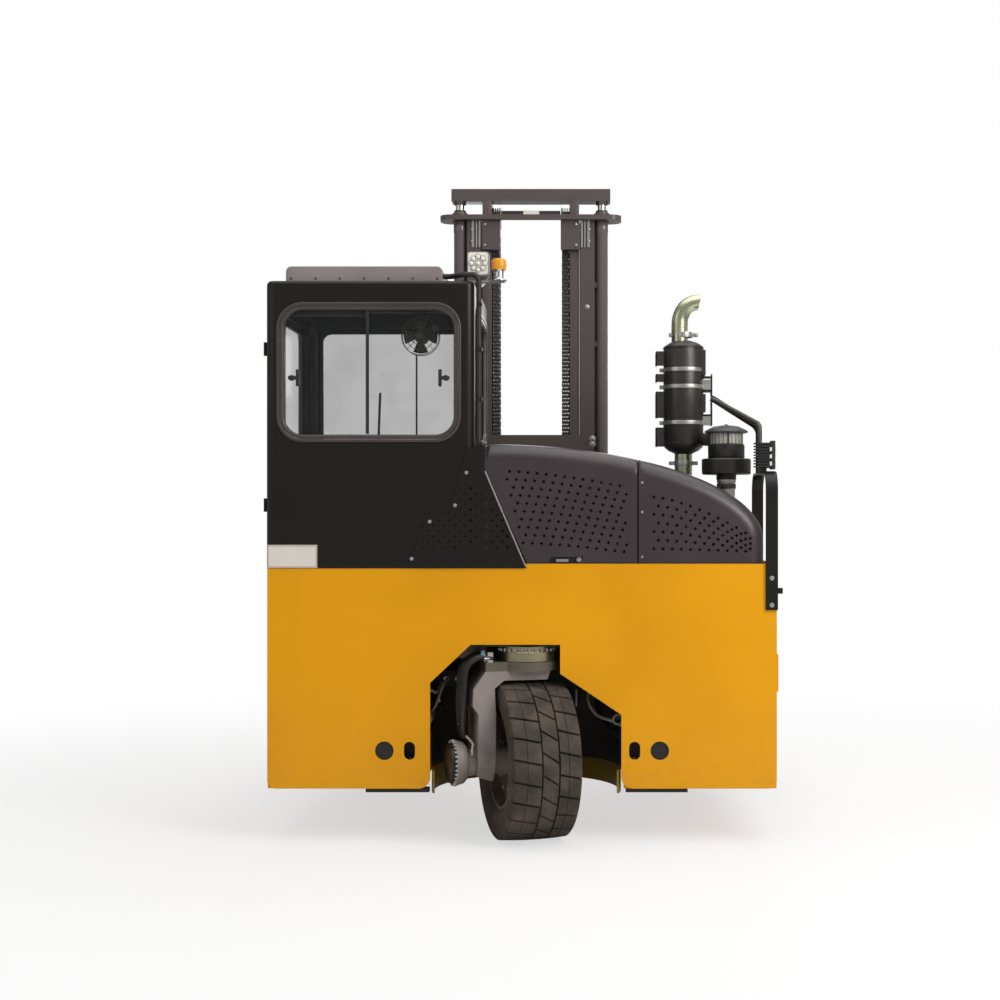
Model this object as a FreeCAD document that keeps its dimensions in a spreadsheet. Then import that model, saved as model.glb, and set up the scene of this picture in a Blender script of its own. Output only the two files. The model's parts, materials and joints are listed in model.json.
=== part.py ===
import FreeCAD, Part
import os
from math import cos, hypot, tan
from types import SimpleNamespace

import Sketcher

# Four-way sideloader: a U-shaped chassis on one steered rear wheel and two steered
# front wheels, a cab and an engine hood at the back, and a mast that reaches forward
# between two load decks.  +Z is up, +Y is the side the forks point to, +X is to the
# right seen from behind.  Z = 0 is the floor; the origin is under the box's middle.
# A size whose name ends in _in is a depth in front of the rear panel's face.

V = FreeCAD.Vector
doc = FreeCAD.newDocument("sideloader")

SIZES = {
    # chassis
    "rear_face": -1063,        # Y of the rear panel's outer face
    "body_half": 1125,         # half the width over the side panels
    "body_depth": 955,         # rear face to the front of the cab and engine bodies
    "deck_reach": 2400,        # rear face to the front of the load decks
    "belly": 239,              # underside of the chassis
    "body_top": 1233,          # top edge of the yellow body
    "cab_sill": 1213,          # bottom edge of the cab's skin
    "plate": 10,               # outer panels
    "wall": 12,                # inner walls
    "panel_round": 38,         # the rear panel's bottom corners
    "well_half": 450,          # half the width between the two arms
    "well_roof": 865,          # underside of the plate over the rear wheel
    "roof_plate": 22,
    "well_front": 540,         # rear face to the wall ahead of the rear wheel
    "shelf_high": 700,         # floor plate inside the left body
    "over": 5,                 # how far a cutter runs past what it cuts
    # arch and holes in the rear panel
    "arch_knee": 706,
    "arch_top": 874,
    "arch_top_left": 227,
    "arch_top_right": 168,
    "arch_step": 746,
    "arch_shoulder": 565,
    "arch_foot_round": 50,
    "slot_half": 497,          # tie-down slots beside the arch
    "slot_wide": 49,
    "slot_tall": 79,
    "slot_flat": 0.5,          # straight stretch left at each end of a slot
    "socket_half": 608,        # round tow sockets
    "socket_bore": 41,
    "socket_height": 406,
    # steps up to the cab
    "step_low": 430,
    "step_rise": 330,
    "step_tall": 190,
    "step_deep": 160,
    "step_start": 240,         # rear face to the steps' rear end
    "step_long": 480,
    "step_shell": 6,
    # rear wheel and its steering
    "steer_inset": 100,        # rear face to the steering axis
    "steer_side": 16,          # X of the steering axis
    "rear_heading": 17,        # how far the rear wheel is turned as it parks
    "rear_radius": 353,
    "rear_wide": 315,
    "wheel_offset": 7,         # steering axis to the wheel's middle
    "rear_bead": 215,          # radius of the rear rim
    "rear_disc": 75,           # wheel middle to the rim's disc
    "skirt_radius": 412,
    "skirt_low": 217,
    "skirt_high": 317,
    "ring_radius": 131,
    "ring_low": 798,
    "ring_clear": 0.5,         # slewing ring to the turntable
    "turntable_radius": 134,
    "turntable_low": 758,
    "arm_low": 716,
    "arm_deep": 80,            # half the arm's depth, front to back
    "arm_tip": 90,
    "arm_slope": 14,
    "arm_heel": 38,            # how far the arm's end stands in from the leg
    "arm_crook": 43,           # bevel inside the bend between arm and leg
    "arm_crook_tall": 33,
    "leg_gap": 14,
    "leg_thick": 80,
    "leg_foot": 268,
    "leg_deep": 105,           # half the leg's depth, front to back
    "leg_toe": 45,             # half the depth of the leg's foot
    "leg_taper": 5,
    "leg_taper_high": 340,
    "leg_bevel": 14,
    "leg_bevel_low": 290,
    "leg_bevel_high": 320,
    "bulge_low": 574,
    "bulge_middle": 610,
    "bulge_high": 683,
    "bulge": 24,
    "bulge_top": 17,
    "drum_radius": 105,
    "drum_long": 125,
    "drum_cap": 10,
    "axle_radius": 60,
    "axle_seat": 2,            # how far the axle's root sits in the leg
    "axle_past": 15,           # how far it runs past the rim's disc
    "hub_clear": 2,
    "steer_motor_side": 250,
    "steer_motor_in": 140,
    "steer_motor_radius": 52,
    "steer_motor_clear": 8,    # turntable to the steering motor over it
    "bracket_far": 357,
    "bracket_near": 165,
    "bracket_start": 150,
    "bracket_long": 100,
    # tyres and rims
    "tyre_shoulder": 18,       # height of the rounding beside the tread
    "shoulder_wide": 24,
    "shoulder_lean": 6,
    "rim_share": 0.86,         # rim's width as a share of the tyre's
    "flank_low": 0.35,         # the sidewall's widest stretch, as shares of its height
    "flank_high": 0.7,
    "rim_lip": 14,
    "rim_well": 22,
    "disc_back": 10,
    "disc_front": 12,
    # front wheels
    "front_radius": 300,
    "front_wide": 230,
    "front_bead": 160,
    "front_disc": 40,
    "front_track": 795,        # half the distance between the front steering axes
    "front_base": 2000,        # rear face to the front steering axes
    "knuckle_gap": 8,
    "knuckle_thick": 45,
    "knuckle_deep": 75,
    "knuckle_low": 240,
    "knuckle_arm": 650,
    "knuckle_arm_tall": 55,
    "knuckle_tip": 110,
    "bearing_radius": 100,
    "bearing_clear": 1,
    "front_drum": 82,
    "front_drum_long": 62,
    "front_axle": 45,
    "front_axle_long": 50,
    # decks and reach rails
    "deck_top": 790,
    "deck_plate": 20,
    "deck_wall_low": 300,
    "skirt_edge": 400,         # bottom edge of the decks' side skirts
    "rib_clear": 25,
    "seat_plate": 25,
    "seat_plate_half": 170,
    "front_arch_half": 335,
    "front_arch_bevel": 120,
    "front_arch_knee": 560,
    "front_arch_high": 700,
    "rail_low": 350,
    "rail_high": 480,
    "rail_tip": 400,           # how near the middle the rails' flanges come
    "rail_start": 20,          # wall ahead of the rear wheel to the rails
    # cab
    "cab_proud": 8,            # how far the cab stands out from the body's side
    "cab_right": 212,
    "cab_top": 2483,
    "cab_wall": 40,
    "cab_set_back": 5,         # body's front to the cab's front
    "cab_round": 38,           # the cab's upright corners
    "cab_lid": 43,
    "lid_round": 20,
    "cab_floor": 4,            # upper step's shell to the cab floor's underside
    "floor_plate": 20,
    "floor_clear": 1,
    "floor_left": 20,
    "floor_right": 5,
    "floor_front": 2,
    "window_left": 53,         # cab's left side to the rear window
    "window_right": 61,
    "window_low": 1773,
    "window_high": 2382,
    "window_round": 110,
    "face_low": 1330,          # the front window reaches lower
    "face_high": 2380,
    "face_left": 70,
    "face_right": 60,
    "face_round": 70,
    "side_post": 60,
    "side_round": 80,
    "frame_in": 43,            # the door's frame behind the door
    "frame_thick": 32,
    "frame_post": 45,
    "frame_low": 1275,
    "frame_high": 2400,
    "glass": 6,
    "door_thick": 38,
    "door_rear": 12,
    "door_front": 6,
    "door_low": 1250,
    "door_high": 2435,
    "door_post_rear": 80,
    "door_post_front": 70,
    "door_pane_low": 1560,
    "door_pane_high": 2360,
    "door_pane_in": 16,
    "hinge_low": 1491,
    "hinge_high": 2184,
    "hinge_half": 30,
    "hinge_pin": 8,
    "hinge_out": 9,
    "hinge_in": 8,
    "tab_half": 28,
    "tab_long": 52,
    "tab_lap": 6,
    # roof box, lamps and conduit
    "box_left": 79,
    "box_right": 145,
    "box_start": 60,
    "box_long": 580,
    "box_tall": 71,
    "box_round": 25,
    "lamp_arm": 8,             # thickness of the plate that carries both lamps
    "lamp_arm_left": 48,       # cab's right side to the plate's ends
    "lamp_arm_right": 146,
    "lamp_arm_start": 45,
    "lamp_arm_end": 110,
    "lamp_right": 62,
    "lamp_left": 35,
    "lamp_lift": 31,
    "lamp_tall": 106,
    "lamp_start": 42,
    "lamp_end": 98,
    "post_left": 3,
    "post_right": 42,
    "post_start": 60,
    "post_end": 85,
    "post_lap": 6,
    "beacon_out": 106,
    "beacon_in": 76,
    "beacon_base": 38,
    "beacon_dome": 33,
    "beacon_crown": 20,
    "beacon_base_tall": 45,
    "beacon_step": 4,
    "beacon_dome_tall": 35,
    "beacon_crown_tall": 14,
    "conduit_radius": 12,
    "conduit_bend": 32,
    "conduit_lift": 29,
    "conduit_start": 85,
    "conduit_knee": 39,
    "conduit_corner": 24,
    "conduit_in": 20,
    "conduit_side": 192,
    "conduit_corner_side": 262,
    "conduit_low": 1700,
    # inside the cab
    "seat_half": 250,
    "seat_rear": 70,           # cab's rear wall to the seat
    "seat_knees": 90,          # seat to the console
    "seat_low": 1330,
    "seat_thick": 110,
    "rest_thick": 110,
    "rest_low": 1380,
    "rest_high": 1755,
    "rest_lap": 20,
    "seat_base_in": 30,
    "seat_base_half": 180,
    "console_half": 290,
    "console_deep": 135,
    "console_clear": 5,
    "console_high": 1400,
    "column_in": 20,
    "column_radius": 30,
    "helm_radius": 150,
    "helm_out": 30,
    "helm_high": 1540,
    "helm_thick": 22,
    # engine side
    "hood_left": 154,
    "hood_seam": 512,
    "hood_inset": 53,          # body's right side to the hood's
    "hood_depth": 900,
    "hood_high": 1762,
    "hood_rise": 425,          # the roof line is a quarter of an ellipse this tall
    "hood_ridge": 70,          # rounding between the rear face and the roof
    "hood_shell": 12,
    "bulkhead": 12,            # fixed plate that closes the hood's front
    "bulkhead_drop": 14,
    "lid_gap": 6,
    "lid_notch": 24,           # X of the lid's left edge at its foot
    "lid_notch_high": 1610,
    "lid_hinge_in": 10,
    "lid_hinge_rise": 10,      # hinge axis above the hood's highest line
    "lid_hinge_radius": 9,
    "lid_hinge_long": 70,
    "lid_hinge_step": 170,
    "lid_hinge_left": 44,
    "lid_leaf": 40,
    "cover_thick": 6,          # perforated plate between the cab and the hood
    "cover_left": 503,
    "cover_right": 20,
    "cover_edge": 165,
    "cover_edge_low": 1645,
    "cover_edge_high": 1758,
    "cover_peak": 240,
    "cover_peak_high": 1745,
    "cover_notch": 326,
    "cover_step": 425,
    "cover_step_high": 1451,
    "engine_left": 60,
    "engine_right": 440,
    "engine_start": 60,        # hood's front edge to the engine's front face
    "engine_long": 720,
    "engine_high": 1560,
    "engine_clear": 1,
    # exhaust, air cleaner and guard
    "muffler_side": 334,       # hood's right side to the muffler
    "muffler_in": 444,
    "muffler_radius": 94,
    "muffler_low": 1731,
    "muffler_tall": 531,
    "muffler_wall": 119,       # bottom of the muffler to its straight wall
    "muffler_wall_tall": 373,
    "dish_low": 39,
    "dish_radius": 70,
    "dish_foot": 5,
    "dish_foot_radius": 34,
    "dish_high": 12,
    "pipe_radius": 41,
    "pipe_hole": 5,
    "pipe_low": 1300,
    "tail_radius": 34,
    "tail_bend": 60,
    "tail_straight": 138,
    "tail_reach": 73,
    "tail_rise": 70,
    "cleaner_side": 145,       # hood's right side to the pre-cleaner
    "cleaner_in": 300,
    "cleaner_low": 1350,
    "cleaner_neck": 43,
    "cleaner_neck_high": 1630,
    "cleaner_ring": 113,
    "cleaner_ring_low": 1636,
    "cleaner_ring_high": 1705,
    "cleaner_bowl": 84,
    "cleaner_bowl_low": 1712,
    "cleaner_waist": 77,
    "cleaner_waist_high": 1824,
    "cleaner_lid": 99,
    "cleaner_lid_low": 1828,
    "cleaner_lid_high": 1858,
    "cleaner_crown": 60,
    "cleaner_high": 1864,
    "guard_near": 50,          # body's side to the guard's inner edge
    "guard_wide": 54,
    "guard_thick": 10,
    "guard_long": 600,
    "guard_low": 1028,
    "guard_high": 1643,
    "guard_round": 90,
    "brace_radius": 15,
    "brace_bend": 60,
    "brace_side": 33,
    "brace_low": 1640,
    "brace_knee": 1856,
    "brace_high": 1997,
    "strap_side": 131,         # muffler's axis to the strap's middle
    "strap_gap": 128,
    "strap_thick": 6,
    "strap_half": 30,
    "strap_low": 1865,
    "strap_high": 2106,
    "strap_fit": 0.3,          # gap between the strap's tabs and the muffler
    "strap_tab": 60,
    "strap_tab_thick": 8,
    "strap_tab_low": 1910,
    "strap_tab_middle": 2023,
    "strap_tab_high": 2088,
    "stub_near": 1,
    "stub_long": 22,
    "stub_deep": 30,
    "stub_low": 1100,
    "stub_tall": 25,
    "side_lamp_near": 97,
    "side_lamp_wide": 101,
    "side_lamp_start": 60,
    "side_lamp_long": 70,
    "side_lamp_tall": 135,
    # mast
    "mast_back": 65,           # front of the bodies to the rails' rear faces, at least
    "mast_clear": 100,         # the same from the hood, so that the mast clears both
    "rail_deep": 160,
    "outer_rail": 323,
    "outer_tip": 250,
    "inner_rail": 245,
    "inner_tip": 198,
    "rail_wall": 15,
    "inner_wall": 12,
    "mast_foot": 300,
    "mast_tie": 2937,
    "mast_top": 3100,
    "tie_half": 459,
    "tie_thick": 25,
    "tie_back": 30,
    "tie_front": 40,
    "tie_round": 59,
    "tie_open": 252,
    "tie_lap": 1,
    "tie_clear": 3,            # round the lift rods
    "bar_low": 1768,
    "bar_tall": 82,
    "bar_back": 40,
    "bar_gap": 5,
    "bar_pad": 300,
    "bar_pad_half": 20,
    "pad_lap": 1,
    "cylinder_half": 360,
    "cylinder_back": 40,       # rails' rear faces to the lift cylinders' axes
    "barrel_radius": 33,
    "rod_radius": 22,
    "rod_clear": 2,
    "barrel_foot": 20,
    "head_half": 403,          # crosshead that the lift rods push
    "head_back": 20,           # rails' rear faces to the crosshead
    "head_deep": 100,
    "head_tall": 61,
    "inner_lift": 12,
    "inner_foot_in": 6,
    "inner_foot_low": 10,
    "inner_foot_tall": 110,
    "inner_foot_back": 9,
    "inner_foot_lap": 5,
    "mast_roller": 58,
    "mast_roller_high": 100,
    "mast_roller_near": 244,
    "mast_roller_far": 299,
    # reach carriage and its cylinders
    "reach_half": 385,
    "reach_back": 55,          # how far its plate lies behind the rails
    "reach_low": 262,
    "reach_high": 640,
    "reach_lap": 1,
    "arm_start": 225,          # how far its arms start behind that plate
    "arm_near": 365,
    "arm_bottom": 330,
    "arm_top": 520,
    "cheek_start": 80,         # these four from the rails' rear faces
    "cheek_bottom": 290,
    "reach_rod_half": 424,
    "reach_rod_high": 540,
    "reach_rod": 14,
    "reach_barrel": 25,
    "reach_bore": 17,
    "reach_hole": 28,
    "reach_start": 30,         # these two from the rear panel's face
    "reach_end": 125,
    "reach_rod_start": 100,
    "lug_start": 135,
    "lug_thick": 25,
    "lug_half": 30,
    "lug_far": 441,
    "reach_roller": 45,
    "reach_roller_high": 415,
    "reach_roller_far": 433,
    "reach_roller_lap": 2,
    "reach_roller_front": 120,
    "reach_roller_rear": 50,   # from the arms' rear ends
    # chains and sheaves
    "chain_half": 175,
    "chain_wide": 36,
    "chain_thick": 18,
    "chain_spread": 45,        # sheave axis to the middle of each chain strand
    "chain_gap": 6,
    "rear_chain_low": 480,
    "front_chain_low": 900,
    "sheave_radius": 54,
    "sheave_half": 22,
    "sheave_high": 2960,
    "sheave_strap": 4,
    "sheave_strap_deep": 8,
    # fork carriage and forks
    "carriage_half": 380,
    "carriage_gap": 10,
    "carriage_thick": 35,
    "carriage_low": 340,
    "carriage_rise": 420,
    "carriage_tall": 110,
    "carriage_lap": 10,
    "post_side": 365,
    "post_half": 15,
    "cheek_near": 150,
    "cheek_far": 190,
    "cheek_foot": 330,
    "cheek_top": 900,
    "cheek_back": 15,
    "cheek_lap": 2,
    "roller": 47,
    "roller_near": 200,
    "roller_far": 226,
    "roller_lap": 4,
    "roller_stub": 20,
    "roller_low": 400,
    "roller_high": 800,
    "fork_half": 290,
    "fork_wide": 120,
    "fork_thick": 45,
    "fork_reach": 1080,
    "fork_low": 300,
    "fork_tip": 12,
    "fork_taper": 320,
    "fork_high": 880,
}


class Size:
    """A number that keeps its formula, so that a property can be bound to it."""

    def __init__(self, value, text):
        self.value, self.text = value, text

    def __add__(self, other):
        return combine(self, "+", other)

    def __radd__(self, other):
        return combine(other, "+", self)

    def __sub__(self, other):
        return combine(self, "-", other)

    def __rsub__(self, other):
        return combine(other, "-", self)

    def __mul__(self, other):
        return combine(self, "*", other)

    def __rmul__(self, other):
        return combine(other, "*", self)

    def __truediv__(self, other):
        return combine(self, "/", other)

    def __neg__(self):
        return combine(0, "-", self)


def as_size(number):
    return number if isinstance(number, Size) else Size(float(number), "(%.10g)" % number)


def combine(left, sign, right):
    left, right = as_size(left), as_size(right)
    value = {"+": left.value + right.value, "-": left.value - right.value,
             "*": left.value * right.value,
             "/": left.value / right.value if right.value else 0}[sign]
    return Size(value, "(%s %s %s)" % (left.text, sign, right.text))


def larger(left, right):
    left, right = as_size(left), as_size(right)
    return Size(max(left.value, right.value), "max(%s; %s)" % (left.text, right.text))


sheet = doc.addObject("Spreadsheet::Sheet", "sizes")
for row, (alias, amount) in enumerate(SIZES.items(), 1):
    sheet.set("A%d" % row, alias)
    sheet.set("B%d" % row, str(amount))
    sheet.setAlias("B%d" % row, alias)
doc.recompute()
d = SimpleNamespace(**{alias: Size(float(amount), "sizes." + alias)
                       for alias, amount in SIZES.items()})


def at(depth):
    """Y of a place that lies `depth` in front of the rear panel's face."""
    return d.rear_face + depth


def bind(thing, **properties):
    for name, size in properties.items():
        thing.setExpression(name.replace("__", "."), as_size(size).text)


def move_to(thing, x, y, z):
    bind(thing, Placement__Base__x=x, Placement__Base__y=y, Placement__Base__z=z)


# ---------------------------------------------------------------- primitives

def box(name, x, y, z):
    """A block between two values along each axis."""
    block = doc.addObject("Part::Box", name)
    bind(block, Length=x[1] - as_size(x[0]), Width=y[1] - as_size(y[0]),
         Height=z[1] - as_size(z[0]))
    move_to(block, x[0], y[0], z[0])
    return block


AXES = {"x": (V(0, 1, 0), 90), "y": (V(1, 0, 0), -90), "z": (V(0, 0, 1), 0)}


def rod(name, axis, centre, radius, span):
    """A cylinder along an axis, its centre given by the other two coordinates."""
    bar = doc.addObject("Part::Cylinder", name)
    direction, angle = AXES[axis]
    bar.Placement = FreeCAD.Placement(V(), FreeCAD.Rotation(direction, angle))
    bind(bar, Radius=radius, Height=span[1] - as_size(span[0]))
    place = list(centre)
    place.insert("xyz".index(axis), span[0])
    move_to(bar, *place)
    return bar


def sided(side, near, far):
    """A span of X on one side of the middle, given as distances from the middle."""
    return (-as_size(far), -as_size(near)) if side < 0 else (near, far)


def cut(name, base, *tools):
    tool = tools[0] if len(tools) == 1 else fuse(name + "_tools", *tools)
    result = doc.addObject("Part::Cut", name)
    result.Base, result.Tool = base, tool
    return result


def fuse(name, *shapes):
    result = doc.addObject("Part::MultiFuse", name)
    result.Shapes = list(shapes)
    return result


def common(name, *shapes):
    result = doc.addObject("Part::MultiCommon", name)
    result.Shapes = list(shapes)
    return result


def tube(name, axis, centre, outer, inner, span):
    return cut(name, rod(name + "_outside", axis, centre, outer, span),
               rod(name + "_bore", axis, centre, inner, span))


# ---------------------------------------------------------------- sketched bodies

def polygon(sketch, points):
    """A closed chain of lines whose corners are bound to the sizes."""
    first = sketch.GeometryCount
    flat = [V(as_size(u).value, as_size(v).value, 0) for u, v in points]
    for here, there in zip(flat, flat[1:] + flat[:1]):
        sketch.addGeometry(Part.LineSegment(here, there))
    count = len(points)
    for index in range(count):
        after = first + (index + 1) % count
        sketch.addConstraint(Sketcher.Constraint("Coincident", first + index, 2, after, 1))
    for index, (u, v) in enumerate(points):
        for kind, amount in (("DistanceX", u), ("DistanceY", v)):
            amount = as_size(amount)
            number = sketch.addConstraint(
                Sketcher.Constraint(kind, -1, 1, first + index, 1, amount.value))
            sketch.setExpression("Constraints[%d]" % number, amount.text)


def circle(sketch, u, v, radius):
    u, v, radius = as_size(u), as_size(v), as_size(radius)
    ring = sketch.addGeometry(Part.Circle(V(u.value, v.value, 0), V(0, 0, 1), radius.value))
    for kind, amount in (("DistanceX", u), ("DistanceY", v)):
        number = sketch.addConstraint(
            Sketcher.Constraint(kind, -1, 1, ring, 3, amount.value))
        sketch.setExpression("Constraints[%d]" % number, amount.text)
    number = sketch.addConstraint(Sketcher.Constraint("Radius", ring, radius.value))
    sketch.setExpression("Constraints[%d]" % number, radius.text)


def new_sketch(body, plane, offset):
    sketch = body.newObject("Sketcher::SketchObject", body.Name + "_outline")
    face = [item for item in body.Origin.OriginFeatures if item.Role == plane + "_Plane"][0]
    sketch.AttachmentSupport = (face, "")
    sketch.MapMode = "FlatFace"
    bind(sketch, **{".AttachmentOffset.Base.z".replace(".", "__"): offset})
    return sketch


def flat_place(plane, point):
    """The two in-plane coordinates of a point."""
    return {"XY": (point.x, point.y), "XZ": (point.x, point.z), "YZ": (point.y, point.z)}[plane]


def round_corners(body, plane, feature, corners, radius, label):
    """Fillet the edges that stand on the sketch's plane at the given corners."""
    doc.recompute()
    normal = {"XY": V(0, 0, 1), "XZ": V(0, 1, 0), "YZ": V(1, 0, 0)}[plane]
    wanted = [(as_size(u).value, as_size(v).value) for u, v in corners]
    names = []
    for number, edge in enumerate(feature.Shape.Edges, 1):
        ends = [vertex.Point for vertex in edge.Vertexes]
        if len(ends) != 2 or abs((ends[1] - ends[0]).normalize().dot(normal)) < 0.999:
            continue
        here = flat_place(plane, ends[0])
        if any(hypot(here[0] - u, here[1] - v) < 0.05 for u, v in wanted):
            names.append("Edge%d" % number)
    if len(names) != len(wanted):
        raise RuntimeError("%s: %d corners of %d found" % (label, len(names), len(wanted)))
    fillet = body.newObject("PartDesign::Fillet", label)
    fillet.Base = (feature, names)
    bind(fillet, Radius=radius)
    return fillet


def prism(name, plane, span, outline, holes=(), circles=(), rounds=()):
    """A flat outline in a plane, given depth along that plane's normal.

    rounds lists (radius, corners) pairs; the XZ plane's normal points to -Y.
    """
    body = doc.addObject("PartDesign::Body", name)
    start, end = as_size(span[0]), as_size(span[1])
    sketch = new_sketch(body, plane, -end if plane == "XZ" else start)
    for ring in (outline,) + tuple(holes):
        polygon(sketch, ring)
    for ring in circles:
        circle(sketch, *ring)
    pad = body.newObject("PartDesign::Pad", name + "_depth")
    pad.Profile = sketch
    bind(pad, Length=end - start)
    feature = pad
    for number, (radius, corners) in enumerate(rounds):
        feature = round_corners(body, plane, feature, corners, radius,
                                "%s_round%d" % (name, number))
    return body


def turned(name, profile, axis="V_Axis"):
    """A profile in the XZ plane turned round the sketch's vertical or level axis."""
    body = doc.addObject("PartDesign::Body", name)
    sketch = new_sketch(body, "XZ", 0)
    polygon(sketch, profile)
    spin = body.newObject("PartDesign::Revolution", name + "_turn")
    spin.Profile = sketch
    spin.ReferenceAxis = (sketch, [axis])
    spin.Angle = 360
    return body


def rectangle(u, v):
    return [(u[0], v[0]), (u[1], v[0]), (u[1], v[1]), (u[0], v[1])]


def bent_tube(points, radius, bend):
    """Straight runs joined by tangent arcs of one bend radius, as a solid round bar."""
    points = [V(*[as_size(value).value for value in point]) for point in points]
    edges, start = [], points[0]
    for before, corner, after in zip(points, points[1:], points[2:]):
        inward, outward = (corner - before).normalize(), (after - corner).normalize()
        turn = inward.getAngle(outward)
        reach = bend * tan(turn / 2)
        first, last = corner - inward * reach, corner + outward * reach
        middle = corner + (outward - inward).normalize() * (bend / cos(turn / 2) - bend)
        edges.append(Part.LineSegment(start, first).toShape())
        edges.append(Part.Arc(first, middle, last).toShape())
        start = last
    edges.append(Part.LineSegment(start, points[-1]).toShape())
    path = Part.Wire(edges)
    end = Part.Wire([Part.Circle(points[0], points[1] - points[0], radius).toShape()])
    return path.makePipeShell([end], True, True)


def shaped(name, shape):
    feature = doc.addObject("Part::Feature", name)
    feature.Shape = shape
    return feature


NODES = []


def node(name, thing):
    """Name a finished sub-part; its label names its file."""
    thing.Label = name
    NODES.append(thing)
    return thing


# ---------------------------------------------------------------- chassis

def rear_panel():
    """The yellow back plate with its arch, tie-down slots and tow sockets.

    The arch's feet stand where the skirt round the wheel meets the plate.
    """
    half, low = d.body_half, d.belly
    left = d.steer_side - d.skirt_radius - d.plate
    right = d.steer_side + d.skirt_radius + d.plate
    outline = [(-half, low), (left, low), (left, d.arch_knee),
               (-d.arch_top_left, d.arch_top), (d.arch_top_right, d.arch_top),
               (d.arch_top_right, d.arch_step), (right, d.arch_shoulder),
               (right, low), (half, low), (half, d.body_top),
               (d.steer_side, d.body_top), (d.steer_side, d.cab_sill), (-half, d.cab_sill)]
    across, up = d.slot_wide / 2, d.slot_tall / 2
    slots = [rectangle((side * d.slot_half - across, side * d.slot_half + across),
                       (d.socket_height - up, d.socket_height + up)) for side in (-1, 1)]
    sockets = [(side * d.socket_half, d.socket_height, d.socket_bore) for side in (-1, 1)]
    return prism("rear_panel", "XZ", (at(0), at(d.plate)), outline, slots, sockets,
                 [(d.panel_round, [(-half, low), (half, low)]),
                  (d.arch_foot_round, [(left, low), (right, low)]),
                  (across - d.slot_flat, slots[0] + slots[1])])


def body_side(name, side):
    """One side of the body: outer skin, belly plate, front bulkhead and inner wall.

    The left side also has a shelf and two steps sunk into the skin.
    """
    outer = (d.body_half - d.plate, d.body_half)
    inner = (d.well_half, d.well_half + d.wall)
    between = sided(side, inner[1], outer[0])
    depth, top = (at(d.plate), at(d.body_depth)), d.cab_sill if side < 0 else d.body_top
    skin = box(name + "_skin", sided(side, *outer), depth, (d.belly, top))
    belly = box(name + "_belly", between, depth, (d.belly, d.belly + d.plate))
    front = box(name + "_front", between, (at(d.body_depth - d.plate), at(d.body_depth)),
                (d.belly + d.plate, top))
    wall = box(name + "_wall", sided(side, *inner), depth, (d.belly, d.well_roof + d.roof_plate))
    if side > 0:
        return fuse(name, skin, belly, front, wall)
    shelf = box(name + "_shelf", between, (at(d.plate), at(d.body_depth - d.plate)),
                (d.shelf_high, d.shelf_high + d.wall))
    start, end, shell = d.step_start, d.step_start + d.step_long, d.step_shell
    back = outer[0] - d.step_deep
    pockets, steps = [], []
    for number, low in enumerate((d.step_low, d.step_low + d.step_rise)):
        high = low + d.step_tall
        pockets.append(box("%s_pocket%d" % (name, number), sided(side, back - shell, outer[0]),
                           (at(start - shell), at(end + shell)), (low - shell, high + shell)))
        steps.append(box("%s_step%d" % (name, number), sided(side, back, outer[1] + d.over),
                         (at(start), at(end)), (low, high)))
    return cut(name, fuse(name + "_whole", skin, belly, front, wall, shelf, *pockets), *steps)


def wheel_well():
    """The plate over the rear wheel that carries the slewing ring, and the wall ahead."""
    inner = (-d.well_half, d.well_half)
    roof = box("well_roof_plate", inner, (at(d.plate), at(d.body_depth - d.plate)),
               (d.well_roof, d.well_roof + d.roof_plate))
    wall = box("well_front_wall", inner, (at(d.well_front), at(d.well_front + d.wall)),
               (d.belly, d.well_roof))
    holes = [rod("reach_hole%d" % side, "y", (side * d.reach_rod_half, d.reach_rod_high),
                 d.reach_hole, (at(d.well_front - d.over), at(d.well_front + d.wall + d.over)))
             for side in (-1, 1)]
    return cut("chassis_frame", fuse("well_plates", roof, wall), *holes)


def skirt():
    """The curved band round the rear wheel, open at the back."""
    centre = (d.steer_side, at(d.steer_inset))
    reach = d.skirt_radius + d.plate + d.over
    band = tube("skirt_band", "z", centre, d.skirt_radius + d.plate, d.skirt_radius,
                (d.skirt_low, d.skirt_high))
    keep = box("skirt_keep", (d.steer_side - reach, d.steer_side + reach),
               (at(d.plate), at(d.steer_inset + reach)),
               (d.skirt_low - d.over, d.skirt_high + d.over))
    return common("skirt", band, keep)


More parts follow.
